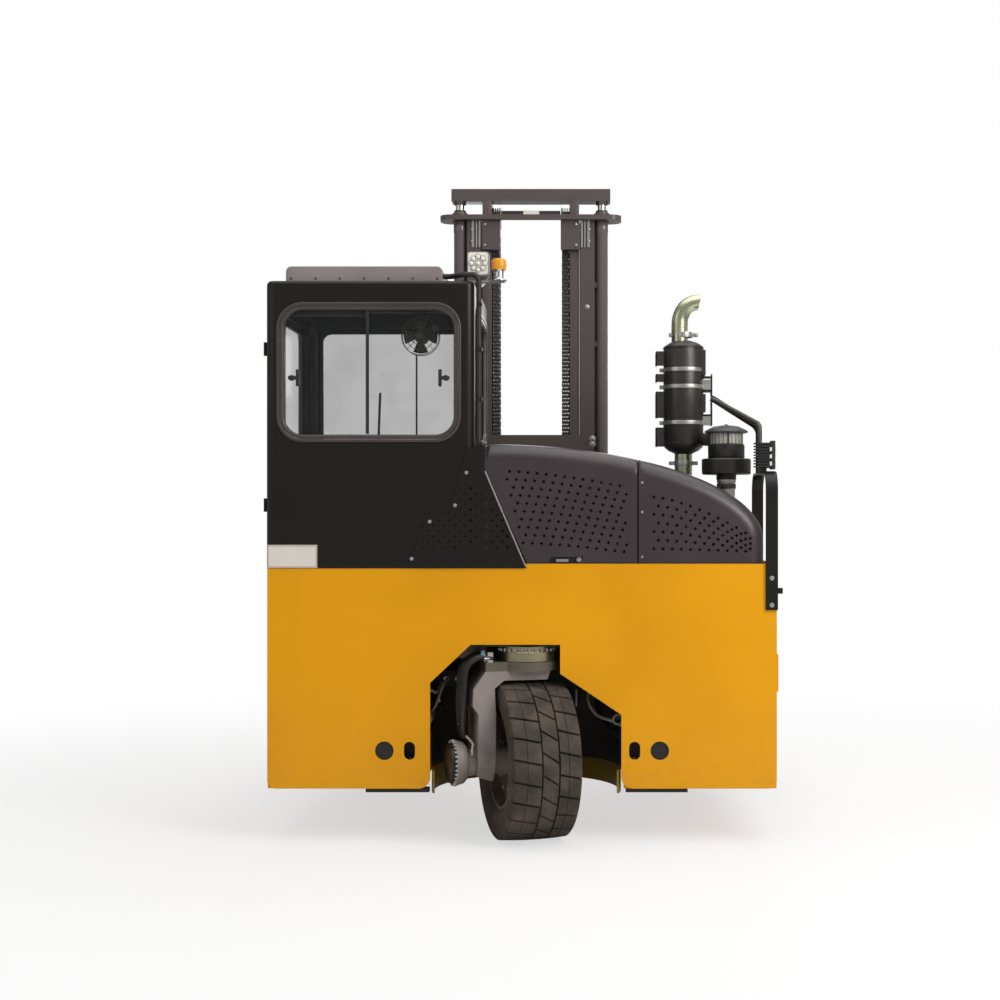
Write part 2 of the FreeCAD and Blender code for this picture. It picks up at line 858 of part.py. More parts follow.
def deck(name, side):
    """One load deck: top plate, skirts, end plates, the steering plate and the reach rail."""
    edge, inner, under = d.body_half, d.well_half, d.deck_top - d.deck_plate
    length = (at(d.body_depth), at(d.deck_reach))
    between = sided(side, inner + d.wall, edge - d.plate)
    base, half, bevel = d.front_base, d.front_arch_half, d.front_arch_bevel
    top = box(name + "_top", sided(side, inner, edge), length, (under, d.deck_top))
    skin = box(name + "_skin", sided(side, edge - d.plate, edge), length, (d.skirt_edge, under))
    wall = box(name + "_wall", sided(side, inner, inner + d.wall), length,
               (d.deck_wall_low, under))
    nose = box(name + "_nose", between, (at(d.deck_reach - d.plate), at(d.deck_reach)),
               (d.skirt_edge, under))
    rib_in = base - half - d.rib_clear
    rib = box(name + "_rib", between, (at(rib_in), at(rib_in + d.wall)), (d.skirt_edge, under))
    seat = box(name + "_seat",
               sided(side, d.front_track - d.seat_plate_half, d.front_track + d.seat_plate_half),
               (at(base - d.seat_plate_half), at(base + d.seat_plate_half)),
               (under - d.seat_plate, under))
    arch = prism(name + "_arch", "YZ", sided(side, edge - d.plate - d.over, edge + d.over),
                 [(at(base - half), d.skirt_edge - d.over),
                  (at(base + half), d.skirt_edge - d.over),
                  (at(base + half), d.front_arch_knee),
                  (at(base + half - bevel), d.front_arch_high),
                  (at(base - half + bevel), d.front_arch_high),
                  (at(base - half), d.front_arch_knee)])
    start, end = at(d.well_front + d.rail_start), d.deck_reach - d.plate
    web = box(name + "_web", sided(side, inner - d.wall, inner), (start, at(end)),
              (d.rail_low, d.rail_high))
    lips = sided(side, d.rail_tip, inner - d.wall)
    flanges = [box("%s_flange%d" % (name, number), lips, (start, at(end)), (low, low + d.wall))
               for number, low in enumerate((d.rail_low, d.rail_high - d.wall))]
    stop = box(name + "_stop", lips, (at(end - d.plate), at(end)),
               (d.rail_low + d.wall, d.rail_high - d.wall))
    return cut(name, fuse(name + "_whole", top, skin, wall, nose, rib, seat, web, stop,
                          *flanges), arch)


# ---------------------------------------------------------------- rear wheel

def turn_to(thing, heading, x, y, z):
    """Stand a piece at a place, turned about the upright to a wheel's heading."""
    thing.Placement = FreeCAD.Placement(V(), FreeCAD.Rotation(V(0, 0, 1), 1))
    bind(thing, Placement__Rotation__Angle=heading)
    move_to(thing, x, y, z)
    return thing


def place_rear(thing, height=0):
    return turn_to(thing, d.rear_heading, d.steer_side, at(d.steer_inset), height)


def leg_span():
    """The fork leg's two faces, as distances to the left of the steering axis."""
    near = d.rear_wide / 2 - d.wheel_offset + d.leg_gap
    return near, near + d.leg_thick


def rear_fork():
    """Turntable and the one-sided cast fork that holds the rear wheel from its left."""
    near, far = leg_span()
    low, high = d.turntable_low, d.ring_low
    table = rod("turntable", "z", (0, 0), d.turntable_radius, (low, high))
    plate = box("turntable_plate", (-far + d.arm_heel, 0), (-d.arm_deep, d.arm_deep), (low, high))
    face = prism("fork_face", "XZ", (-d.leg_deep, d.leg_deep),
                 [(-far + d.arm_heel, low), (d.arm_tip, low), (d.arm_tip - d.arm_slope, d.arm_low),
                  (-near + d.arm_crook, d.arm_low), (-near, d.arm_low - d.arm_crook_tall),
                  (-near, d.leg_foot), (-far + d.leg_bevel, d.leg_bevel_low),
                  (-far, d.leg_bevel_high), (-far, d.bulge_low),
                  (-far - d.bulge, d.bulge_middle), (-far - d.bulge_top, d.bulge_high)])
    shin = d.leg_deep - d.leg_taper
    flank = prism("fork_flank", "YZ", (-far - d.bulge - d.over, d.arm_tip + d.over),
                  [(-d.arm_deep, low), (-d.arm_deep, d.bulge_high), (-d.leg_deep, d.bulge_low),
                   (-shin, d.leg_taper_high), (-d.leg_toe, d.leg_foot), (d.leg_toe, d.leg_foot),
                   (shin, d.leg_taper_high), (d.leg_deep, d.bulge_low),
                   (d.arm_deep, d.bulge_high), (d.arm_deep, low)])
    axle = rod("fork_axle", "x", (0, d.rear_radius), d.axle_radius,
               (-near - d.axle_seat, d.wheel_offset - d.rear_disc + d.axle_past))
    return place_rear(fuse("rear_fork_whole", table, plate,
                           common("fork_casting", face, flank), axle))


def drive_motor():
    near, far = leg_span()
    end = -far - d.drum_long
    drum = rod("drum", "x", (0, d.rear_radius), d.drum_radius, (end, -far))
    lid = rod("drum_lid", "x", (0, d.rear_radius), d.axle_radius, (end - d.drum_cap, end))
    return place_rear(fuse("drive_motor_whole", drum, lid))


def tyre(name, radius, wide, bead, middle=0):
    """A tyre round the X axis: sidewalls that bulge, and rounded shoulders."""
    half, flank = wide / 2, radius - bead
    outside = [(half * d.rim_share, bead), (half, bead + flank * d.flank_low),
               (half, bead + flank * d.flank_high),
               (half - d.shoulder_lean, radius - d.tyre_shoulder),
               (half - d.shoulder_wide, radius)]
    return turned(name, [(middle - reach, height) for reach, height in outside]
                  + [(middle + reach, height) for reach, height in reversed(outside)], "H_Axis")


def rim(name, bead, wide, hub, disc, middle=0):
    """A rim round the X axis: a barrel, and a disc with a hole for the hub."""
    half = wide / 2 * d.rim_share
    back, front = disc - d.disc_back, disc + d.disc_front
    lip, well = bead - d.rim_lip, bead - d.rim_well
    return turned(name, [(middle - half, bead), (middle - half, lip), (back, well), (back, hub),
                         (front, hub), (front, well), (middle + half, lip), (middle + half, bead)],
                  "H_Axis")


# ---------------------------------------------------------------- front wheels

def knuckle(name, side):
    """A front fork: bearing ring, arm, one leg on the inner side and its drive motor."""
    near = d.front_wide / 2 + d.knuckle_gap
    far, deep = near + d.knuckle_thick, (-d.knuckle_deep, d.knuckle_deep)
    arm_high = d.knuckle_arm + d.knuckle_arm_tall
    ring_high = d.deck_top - d.deck_plate - d.seat_plate - d.bearing_clear

    def inward(low, high):
        return (low, high) if side < 0 else (-high, -low)

    ring = rod(name + "_ring", "z", (0, 0), d.bearing_radius, (arm_high, ring_high))
    arm = box(name + "_arm", inward(-d.knuckle_tip, far), deep, (d.knuckle_arm, arm_high))
    leg = box(name + "_leg", inward(near, far), deep, (d.knuckle_low, d.knuckle_arm + d.over))
    motor = rod(name + "_motor", "x", (0, d.front_radius), d.front_drum,
                inward(far, far + d.front_drum_long))
    axle = rod(name + "_axle", "x", (0, d.front_radius), d.front_axle,
               inward(near - d.front_axle_long, near))
    whole = fuse(name, ring, arm, leg, motor, axle)
    move_to(whole, side * d.front_track, at(d.front_base), 0)
    return whole


# ---------------------------------------------------------------- cab

def window_frame(name, plane, span, outer, hole, rounding):
    return prism(name, plane, span, outer, [hole], (), [(rounding, hole)])


def pane(name, plane, span, hole, rounding):
    return prism(name, plane, span, hole, (), (), [(rounding, hole)])


def cab_shell(left, right, back, front, low, high):
    """The cab's outside with its upright corners rounded."""
    corners = rectangle((left, right), (back, front))
    return prism("cab_outside_%d" % len(NODES), "XY", (low, high), corners, (), (),
                 [(d.cab_round, corners)])


def round_top(body, height, radius):
    """Round every edge round the top face of a sketched body."""
    doc.recompute()
    pad = body.Tip
    names = ["Edge%d" % number for number, edge in enumerate(pad.Shape.Edges, 1)
             if edge.BoundBox.ZMin > as_size(height).value - 0.01]
    fillet = body.newObject("PartDesign::Fillet", body.Name + "_top")
    fillet.Base = (pad, names)
    bind(fillet, Radius=radius)
    return body


def cab():
    left, right, wall = -d.body_half - d.cab_proud, -d.cab_right, d.cab_wall
    low, high, under_roof = d.cab_sill, d.cab_top, d.cab_top - d.cab_lid
    back, front = at(0), at(d.body_depth - d.cab_set_back)
    inside = (back + wall, front - wall)
    upright = (low, under_roof)

    rear_hole = rectangle((left + d.window_left, right - d.window_right),
                          (d.window_low, d.window_high))
    rear = window_frame("cab_back", "XZ", (back, back + wall), rectangle((left, right), upright),
                        rear_hole, d.window_round)
    node("cab_rear", common("cab_back_rounded", rear,
                            cab_shell(left, right, back, front, low, under_roof)))
    front_hole = rectangle((left + d.face_left, right - d.face_right), (d.face_low, d.face_high))
    face = window_frame("cab_face", "XZ", (front - wall, front), rectangle((left, right), upright),
                        front_hole, d.face_round)
    node("cab_front", common("cab_face_rounded", face,
                             cab_shell(left, right, back, front, low, under_roof)))
    side_hole = rectangle((inside[0] + d.side_post, inside[1] - d.side_post),
                          (d.window_low, d.window_high))
    node("cab_right_wall", window_frame("cab_side", "YZ", (right - wall, right),
                                        rectangle(inside, upright), side_hole, d.side_round))
    frame_hole = rectangle((inside[0] + d.frame_post, inside[1] - d.frame_post),
                           (d.frame_low, d.frame_high))
    frame_at = left + d.frame_in
    node("cab_door_frame", window_frame("cab_frame", "YZ", (frame_at, frame_at + d.frame_thick),
                                        rectangle(inside, upright), frame_hole, d.face_round))
    node("cab_roof", round_top(cab_shell(left, right, back, front, under_roof, high), high,
                               d.lid_round))
    node("cab_floor", box("cab_base", (left + d.floor_left, right - d.floor_right),
                          (at(d.plate + d.floor_clear),
                           at(d.body_depth - d.plate - d.floor_front)),
                          (floor_low(), floor_low() + d.floor_plate)))
    mid = wall / 2 - d.glass / 2
    panes = [pane("pane_rear", "XZ", (back + mid, back + mid + d.glass), rear_hole,
                  d.window_round),
             pane("pane_front", "XZ", (front - mid - d.glass, front - mid), front_hole,
                  d.face_round),
             pane("pane_side", "YZ", (right - mid - d.glass, right - mid), side_hole,
                  d.side_round)]
    node("cab_glass", fuse("cab_glass_whole", *panes))
    cab_door(left, inside)
    roof = rectangle((left + d.box_left, right - d.box_right), (high, high + d.box_tall))
    node("roof_box", prism("roof_unit", "XZ", (at(d.box_start), at(d.box_start + d.box_long)),
                           roof, (), (), [(d.box_round, roof[2:])]))
    cab_inside((left + right) / 2, inside)


def cab_door(left, inside):
    """The door leaf with its window, and two hinges at its rear edge."""
    outer = rectangle((inside[0] + d.door_rear, inside[1] - d.door_front),
                      (d.door_low, d.door_high))
    hole = rectangle((inside[0] + d.door_post_rear, inside[1] - d.door_post_front),
                     (d.door_pane_low, d.door_pane_high))
    leaf = window_frame("door_leaf", "YZ", (left, left + d.door_thick), outer, hole, d.face_round)
    pin_x, pin_y = left - d.hinge_out, inside[0] + d.hinge_in
    parts = [leaf]
    for number, z in enumerate((d.hinge_low, d.hinge_high)):
        parts.append(rod("door_hinge%d" % number, "z", (pin_x, pin_y), d.hinge_pin,
                         (z - d.hinge_half, z + d.hinge_half)))
        parts.append(box("door_tab%d" % number, (pin_x, left + d.tab_lap),
                         (pin_y, pin_y + d.tab_long), (z - d.tab_half, z + d.tab_half)))
    node("cab_door", fuse("door_whole", *parts))
    at_x = left + d.door_pane_in
    node("door_glass", pane("pane_door", "YZ", (at_x, at_x + d.glass), hole, d.face_round))


def floor_low():
    """Underside of the cab floor, over the upper step's shell."""
    return d.step_low + d.step_rise + d.step_tall + d.step_shell + d.cab_floor


def cab_inside(middle, inside):
    """Seat, and the console with its column and steering wheel ahead of it."""
    floor = floor_low() + d.floor_plate
    console_end = inside[1] - d.console_clear
    console_start = console_end - d.console_deep
    seat_start, seat_end = inside[0] + d.seat_rear, console_start - d.seat_knees
    wide = (middle - d.seat_half, middle + d.seat_half)
    cushion = box("seat_cushion", wide, (seat_start + d.rest_thick - d.rest_lap, seat_end),
                  (d.seat_low, d.seat_low + d.seat_thick))
    rest = box("seat_rest", wide, (seat_start, seat_start + d.rest_thick),
               (d.rest_low, d.rest_high))
    base = box("seat_base", (middle - d.seat_base_half, middle + d.seat_base_half),
               (seat_start + d.rest_thick + d.seat_base_in, seat_end - d.seat_base_in),
               (floor, d.seat_low))
    node("seat", fuse("seat_whole", cushion, rest, base))
    column = box("console_box", (middle - d.console_half, middle + d.console_half),
                 (console_start, console_end), (floor, d.console_high))
    stem = rod("console_stem", "z", (middle, console_start + d.column_in), d.column_radius,
               (d.console_high, d.helm_high))
    helm = rod("console_wheel", "z", (middle, console_start - d.helm_out), d.helm_radius,
               (d.helm_high, d.helm_high + d.helm_thick))
    node("steering_console", fuse("console_whole", column, stem, helm))


# ---------------------------------------------------------------- engine side

def hood_form(name, span, depth, inset):
    """A solid under the hood's roof line, drawn in by `inset` except below and in front.

    The roof line is a quarter of an ellipse that falls to the right; below its end the
    right-hand side stands upright.
    """
    inset = as_size(inset)
    right, shoulder = d.body_half - d.hood_inset, d.hood_high - d.hood_rise
    oval = doc.addObject("Part::Ellipse", name + "_oval")
    bind(oval, MajorRadius=d.hood_left + right - inset, MinorRadius=d.hood_rise - inset)
    oval.Placement = FreeCAD.Placement(V(), FreeCAD.Rotation(V(1, 0, 0), 90))
    move_to(oval, -d.hood_left, at(depth), shoulder)
    crown = doc.addObject("Part::Extrusion", name + "_crown")
    crown.Base, crown.DirMode, crown.Dir, crown.Solid = oval, "Custom", V(0, -1, 0), True
    bind(crown, LengthFwd=depth - inset)
    y = (at(inset), at(depth))
    foot = box(name + "_foot", (-d.hood_left, right - inset), y,
               (d.body_top - (1 if inset.value else 0), shoulder))
    top = box(name + "_top", (-d.hood_left, right - inset), y, (shoulder, d.hood_high))
    keep = box(name + "_keep", span, (at(inset - d.over), at(depth + d.over)),
               (d.body_top - d.over, d.hood_high + d.over))
    whole = common(name + "_piece", fuse(name + "_outline", common(name + "_roof", crown, top),
                                         foot), keep)
    doc.recompute()
    ridge = doc.addObject("Part::Fillet", name)
    ridge.Base = whole
    rear, reach = at(inset).value, (d.hood_ridge - inset).value
    ridge.Edges = [(number, reach, reach) for number, edge in enumerate(whole.Shape.Edges, 1)
                   if abs(edge.BoundBox.YMin - rear) < 0.01 and abs(edge.BoundBox.YMax - rear) < 0.01
                   and not isinstance(edge.Curve, Part.Line)]
    if not ridge.Edges:
        raise RuntimeError(name + ": no ridge to round")
    return ridge


def hood_shell(name, span, depth):
    """A moulded cover of one thickness, open below and in front."""
    outer = hood_form(name + "_outer", span, depth, 0)
    inner = hood_form(name + "_inner", (span[0] + d.hood_shell, span[1] - d.hood_shell),
                      depth + d.over, d.hood_shell)
    return cut(name, outer, inner)


def engine_side():
    seam, right = d.lid_gap / 2, d.body_half - d.hood_inset
    front = d.hood_depth + d.lid_gap
    lid = hood_shell("hood_lid", (-d.hood_left, d.hood_seam - seam), d.hood_depth)
    notch = prism("hood_notch", "XZ", (at(-d.over), at(d.hood_depth + d.over)),
                  [(-d.hood_left - d.over, d.body_top - d.over), (d.lid_notch, d.body_top - d.over),
                   (-d.hood_left + d.over, d.lid_notch_high),
                   (-d.hood_left - d.over, d.lid_notch_high)])
    hinge_in, hinge_high = d.hood_depth - d.lid_hinge_in, d.hood_high + d.lid_hinge_rise
    knuckles = []
    for number in range(2):
        start = -d.hood_left + d.lid_hinge_left + number * d.lid_hinge_step
        run = (start, start + d.lid_hinge_long)
        knuckles.append(rod("lid_knuckle%d" % number, "x", (at(hinge_in), hinge_high),
                            d.lid_hinge_radius, run))
        knuckles.append(box("lid_leaf%d" % number, run, (at(hinge_in - d.lid_leaf), at(hinge_in)),
                            (d.hood_high - d.hood_shell, hinge_high)))
    node("hood_left", fuse("hood_left_whole", cut("hood_lid_open", lid, notch), *knuckles))

    muffler = (right - d.muffler_side, at(d.muffler_in))
    cleaner = (right - d.cleaner_side, at(d.cleaner_in))
    fixed = hood_shell("hood_fixed", (d.hood_seam + seam, right), front)
    through = (d.cleaner_low, d.hood_high)
    holes = [rod("hood_pipe_hole", "z", muffler, d.pipe_radius + d.pipe_hole, through),
             rod("hood_neck_hole", "z", cleaner, d.cleaner_neck + d.pipe_hole, through)]
    plate = common("hood_bulkhead",
                   hood_form("bulkhead_outline", (-d.hood_left, right), front + d.bulkhead, 0),
                   box("bulkhead_slab", (-d.hood_left, right), (at(front), at(front + d.bulkhead)),
                       (d.body_top, d.hood_high - d.bulkhead_drop)))
    node("hood_right", fuse("hood_right_whole", cut("hood_pierced", fixed, *holes), plate))
    node("hood_side_cover", prism(
        "side_cover", "XZ", (at(-d.cover_thick), at(0)),
        [(-d.cover_left, d.cab_sill), (d.cover_right, d.cab_sill),
         (-d.cover_edge, d.cover_edge_low), (-d.cover_edge, d.cover_edge_high),
         (-d.cover_peak, d.cover_peak_high), (-d.cover_notch, d.cover_step_high),
         (-d.cover_step, d.cover_step_high)]))
    fan_end = d.hood_depth - d.engine_start
    node("engine", box("engine_block", (-d.engine_left, d.engine_right),
                       (at(fan_end - d.engine_long), at(fan_end)),
                       (d.well_roof + d.roof_plate + d.engine_clear, d.engine_high)))
    exhaust(muffler)
    node("pre_cleaner", pre_cleaner(cleaner))
    node("guard", guard(muffler))
    lamp = d.body_half - d.side_lamp_near
    node("side_lamp", box("lamp_box", (lamp, lamp + d.side_lamp_wide),
                          (at(d.side_lamp_start), at(d.side_lamp_start + d.side_lamp_long)),
                          (d.guard_high, d.guard_high + d.side_lamp_tall)))


def exhaust(place):
    """The muffler, the pipe that feeds it and the bent tail above it."""
    low, high, radius = d.muffler_low, d.muffler_low + d.muffler_tall, d.muffler_radius
    wall_low = low + d.muffler_wall
    wall_high = wall_low + d.muffler_wall_tall
    can = turned("muffler_can", [(0, low), (d.dish_foot_radius, low + d.dish_foot),
                                 (d.dish_radius, low + d.dish_low), (radius, wall_low),
                                 (radius, wall_high), (d.dish_radius, high - d.dish_high),
                                 (0, high)])
    move_to(can, *place, 0)
    node("muffler", can)
    pipe = rod("pipe_low", "z", place, d.pipe_radius, (d.pipe_low, low))
    turn = high + d.tail_straight
    tail = shaped("pipe_tail", bent_tube(
        [(*place, high), (*place, turn), (place[0] + d.tail_reach, place[1], turn + d.tail_rise)],
        d.tail_radius.value, d.tail_bend.value))
    node("exhaust_pipe", fuse("exhaust_whole", pipe, tail))


def pre_cleaner(place):
    """Neck, wide ring, waisted bowl and lid, all turned about one upright axis."""
    bowl = turned("precleaner_bowl", [
        (0, d.cleaner_low), (d.cleaner_neck, d.cleaner_low), (d.cleaner_neck, d.cleaner_neck_high),
        (d.cleaner_ring, d.cleaner_ring_low), (d.cleaner_ring, d.cleaner_ring_high),
        (d.cleaner_bowl, d.cleaner_bowl_low), (d.cleaner_waist, d.cleaner_waist_high),
        (d.cleaner_lid, d.cleaner_lid_low), (d.cleaner_lid, d.cleaner_lid_high),
        (d.cleaner_crown, d.cleaner_high), (0, d.cleaner_high)])
    move_to(bowl, *place, 0)
    return bowl


def guard(muffler):
    """A bent flat bar beside the hood, a tube brace and the strap that holds the muffler."""
    near = d.body_half - d.guard_near
    far, thick = near + d.guard_wide, d.guard_thick
    low, high, end, foot = d.guard_low, d.guard_high, d.guard_long, d.body_top
    outer = [(at(-thick), low), (at(-thick), high), (at(end), high), (at(end), foot),
             (at(end - thick), foot), (at(end - thick), high - thick), (at(0), high - thick),
             (at(0), low)]
    hoop = prism("guard_bar", "YZ", (near, far), outer, (), (),
                 [(d.guard_round, [(at(-thick), high), (at(end), high)]),
                  (d.guard_round - thick, [(at(0), high - thick), (at(end - thick), high - thick)])])
    x, y = muffler
    strap_x = x + d.strap_gap
    brace_x = d.body_half - d.brace_side
    brace = shaped("guard_brace", bent_tube(
        [(brace_x, y, d.brace_low), (brace_x, y, d.brace_knee), (x + d.strap_side, y, d.brace_high)],
        d.brace_radius.value, d.brace_bend.value))
    deep = (y - d.strap_half, y + d.strap_half)
    strap = box("muffler_strap", (strap_x, strap_x + d.strap_thick), deep,
                (d.strap_low, d.strap_high))
    tabs = [box("muffler_tab%d" % number, (x + d.strap_tab, strap_x), deep,
                (z, z + d.strap_tab_thick))
            for number, z in enumerate((d.strap_tab_low, d.strap_tab_middle, d.strap_tab_high))]
    clear = rod("muffler_clear", "z", muffler, d.muffler_radius + d.strap_fit,
                (d.muffler_low, d.muffler_low + d.muffler_tall))
    stub = box("guard_stub", (far - d.stub_near, far - d.stub_near + d.stub_long),
               (at(-thick), at(d.stub_deep - thick)), (d.stub_low, d.stub_low + d.stub_tall))
    return fuse("guard_whole", hoop, brace, strap,
                cut("muffler_tabs", fuse("tab_blanks", *tabs), clear), stub)


def roof_lamps():
    """The plate at the cab's corner with the work lamp and beacon, and their conduit."""
    edge, roof = -d.cab_right, d.cab_top
    plate_top = roof + d.lamp_arm
    arm = box("lamp_arm", (edge - d.lamp_arm_left, edge + d.lamp_arm_right),
              (at(d.lamp_arm_start), at(d.lamp_arm_end)), (roof, plate_top))
    lamp_low = roof + d.lamp_lift
    post = box("lamp_post", (edge - d.post_left, edge + d.post_right),
               (at(d.post_start), at(d.post_end)), (plate_top, lamp_low + d.post_lap))
    head = box("lamp_head", (edge - d.lamp_left, edge + d.lamp_right),
               (at(d.lamp_start), at(d.lamp_end)), (lamp_low, lamp_low + d.lamp_tall))
    node("work_lamp", fuse("work_lamp_whole", arm, post, head))
    base_top = plate_top + d.beacon_base_tall
    dome_top = base_top + d.beacon_step + d.beacon_dome_tall
    dome = turned("beacon_dome", [
        (0, plate_top), (d.beacon_base, plate_top), (d.beacon_base, base_top),
        (d.beacon_dome, base_top + d.beacon_step), (d.beacon_dome, dome_top),
        (d.beacon_crown, dome_top + d.beacon_crown_tall), (0, dome_top + d.beacon_crown_tall)])
    move_to(dome, -d.beacon_out, at(d.beacon_in), 0)
    node("beacon", dome)
    level = roof + d.conduit_lift
    corner = -d.conduit_corner_side
    route = [(edge - d.box_right, at(d.conduit_start), level),
             (edge - d.box_right + d.conduit_knee, at(d.conduit_start), level),
             (corner, at(d.conduit_corner), level), (-d.conduit_side, at(d.conduit_in), level),
             (-d.conduit_side, at(d.conduit_in), d.conduit_low)]
    node("conduit", shaped("conduit_tube", bent_tube(route, d.conduit_radius.value,
                                                     d.conduit_bend.value)))


# ---------------------------------------------------------------- steering gear

def slewing():
    """The slewing ring under the plate over the wheel, and the motor that turns it."""
    axis_in = d.steer_inset
    node("slewing_ring", rod("slewing_ring_body", "z", (d.steer_side, at(axis_in)),
                             d.ring_radius, (d.ring_low + d.ring_clear, d.well_roof)))
    tall = (d.ring_low + d.steer_motor_clear, d.well_roof)
    motor = rod("steer_motor_body", "z", (-d.steer_motor_side, at(d.steer_motor_in)),
                d.steer_motor_radius, tall)
    bracket = box("steer_bracket", (-d.bracket_far, -d.bracket_near),
                  (at(d.bracket_start), at(d.bracket_start + d.bracket_long)), tall)
    node("steer_motor", fuse("steer_motor_whole", motor, bracket))


# ---------------------------------------------------------------- mast

def channel(name, side, outer, inner, y, z, wall):
    """A rail whose web is outside and whose flanges point to the middle."""
    whole = box(name + "_bar", sided(side, inner, outer), y, z)
    hollow = box(name + "_hollow", sided(side, inner - d.over, outer - wall),
                 (y[0] + wall, y[1] - wall), (z[0] - d.over, z[1] + d.over))
    return cut(name, whole, hollow)


def about(middle, half):
    return (middle - half, middle + half)


def mast():
    back = at(larger(d.body_depth + d.mast_back, d.hood_depth + d.mast_clear))
    front = back + d.rail_deep
    middle = (back + front) / 2
    node("mast_outer", outer_mast(back, front))
    lift_cylinders(back)
    reach_gear(back, front)
    inner_mast(back, front, middle)
    chains(middle)
    carriage(front, middle)


def outer_mast(back, front):
    """Two rails, the plate that ties their tops and the bar across their backs."""
    rails = [channel("outer_rail%d" % side, side, d.outer_rail, d.outer_tip, (back, front),
                     (d.mast_foot, d.mast_tie), d.rail_wall) for side in (-1, 1)]
    ring = rectangle((-d.tie_half, d.tie_half), (back - d.tie_back, front - d.tie_front))
    tie = prism("mast_tie_plate", "XY", (d.mast_tie, d.mast_tie + d.tie_thick), ring, (),
                [(side * d.cylinder_half, back + d.cylinder_back, d.rod_radius + d.tie_clear)
                 for side in (-1, 1)], [(d.tie_round, ring)])
    gap = box("tie_gap", (-d.tie_open, d.tie_open), (back - d.tie_lap, front),
              (d.mast_tie - d.over, d.mast_tie + d.tie_thick + d.over))
    tall = (d.bar_low, d.bar_low + d.bar_tall)
    bar = box("mast_bar", (-d.outer_rail, d.outer_rail), (back - d.bar_back, back - d.bar_gap),
              tall)
    pads = [box("bar_pad%d" % side, about(side * d.bar_pad, d.bar_pad_half),
                (back - d.bar_gap - d.pad_lap, back + d.pad_lap), tall) for side in (-1, 1)]
    return fuse("mast_outer_whole", *rails, cut("tie_open_plate", tie, gap), bar, *pads)


def lift_cylinders(back):
    barrels = []
    foot_top = d.mast_foot + d.barrel_foot
    for side in (-1, 1):
        centre = (side * d.cylinder_half, back + d.cylinder_back)
        barrels.append(fuse(
            "lift%d" % side,
            tube("lift_barrel%d" % side, "z", centre, d.barrel_radius,
                 d.rod_radius + d.rod_clear, (foot_top, d.mast_tie)),
            rod("lift_foot%d" % side, "z", centre, d.barrel_radius, (d.mast_foot, foot_top))))
    node("lift_cylinders", fuse("lift_whole", *barrels))


def reach_gear(back, front):
    """The carriage that brings the mast forward on the decks' rails, and its cylinders."""
    half, rear, lug = d.reach_half, back - d.reach_back, back + d.lug_start
    arm = rear - d.arm_start
    parts = [box("reach_base", (-half, half), (rear, front), (d.reach_low, d.mast_foot)),
             box("reach_plate", (-half, half), (rear, back), (d.mast_foot, d.reach_high))]
    barrels = []
    for side in (-1, 1):
        rod_at = (side * d.reach_rod_half, d.reach_rod_high)
        parts.append(box("reach_arm%d" % side, sided(side, d.arm_near, half),
                         (arm, rear + d.reach_lap), (d.arm_bottom, d.arm_top)))
        parts.append(box("reach_lug%d" % side, sided(side, d.outer_rail, d.lug_far),
                         (lug, lug + d.lug_thick), about(d.reach_rod_high, d.lug_half)))
        parts.append(box("reach_side%d" % side, sided(side, d.arm_near, half),
                         (back + d.cheek_start, front), (d.cheek_bottom, d.reach_rod_high)))
        parts.append(rod("reach_rod%d" % side, "y", rod_at, d.reach_rod,
                         (at(d.reach_rod_start), lug + d.reach_lap)))
        for number, place in enumerate((arm + d.reach_roller_rear,
                                        back + d.reach_roller_front)):
            parts.append(rod("reach_wheel%d_%d" % (side, number), "x",
                             (place, d.reach_roller_high), d.reach_roller,
                             sided(side, half - d.reach_roller_lap, d.reach_roller_far)))
        barrels.append(tube("reach_barrel%d" % side, "y", rod_at, d.reach_barrel, d.reach_bore,
                            (at(d.reach_start), back + d.reach_end)))
    node("reach_carriage", fuse("reach_whole", *parts))
    node("reach_cylinders", fuse("reach_barrels", *barrels))


def inner_mast(back, front, middle):
    """The inner rails under their crosshead, their foot plate and rollers, and the rods."""
    low, top = d.mast_foot + d.inner_lift, d.mast_top - d.head_tall
    inside = (back + d.rail_wall, front - d.rail_wall)
    rails = [channel("inner_rail%d" % side, side, d.inner_rail, d.inner_tip, inside, (low, top),
                     d.inner_wall) for side in (-1, 1)]
    foot_low = low + d.inner_foot_low
    foot = box("inner_foot", about(0, d.inner_rail - d.inner_foot_in),
               (inside[0] - d.inner_foot_back, inside[0] + d.inner_foot_lap),
               (foot_low, foot_low + d.inner_foot_tall))
    rollers = [rod("inner_roller%d" % side, "x", (middle, low + d.mast_roller_high),
                   d.mast_roller, sided(side, d.mast_roller_near, d.mast_roller_far))
               for side in (-1, 1)]
    head = box("crosshead_bar", (-d.head_half, d.head_half),
               (back + d.head_back, back + d.head_back + d.head_deep), (top, d.mast_top))
    node("mast_inner", fuse("mast_inner_whole", *rails, foot, head, *rollers))
    rods = [rod("lift_rod%d" % side, "z", (side * d.cylinder_half, back + d.cylinder_back),
                d.rod_radius, (d.mast_foot + 2 * d.barrel_foot, top)) for side in (-1, 1)]
    node("lift_rods", fuse("lift_rods_whole", *rods))


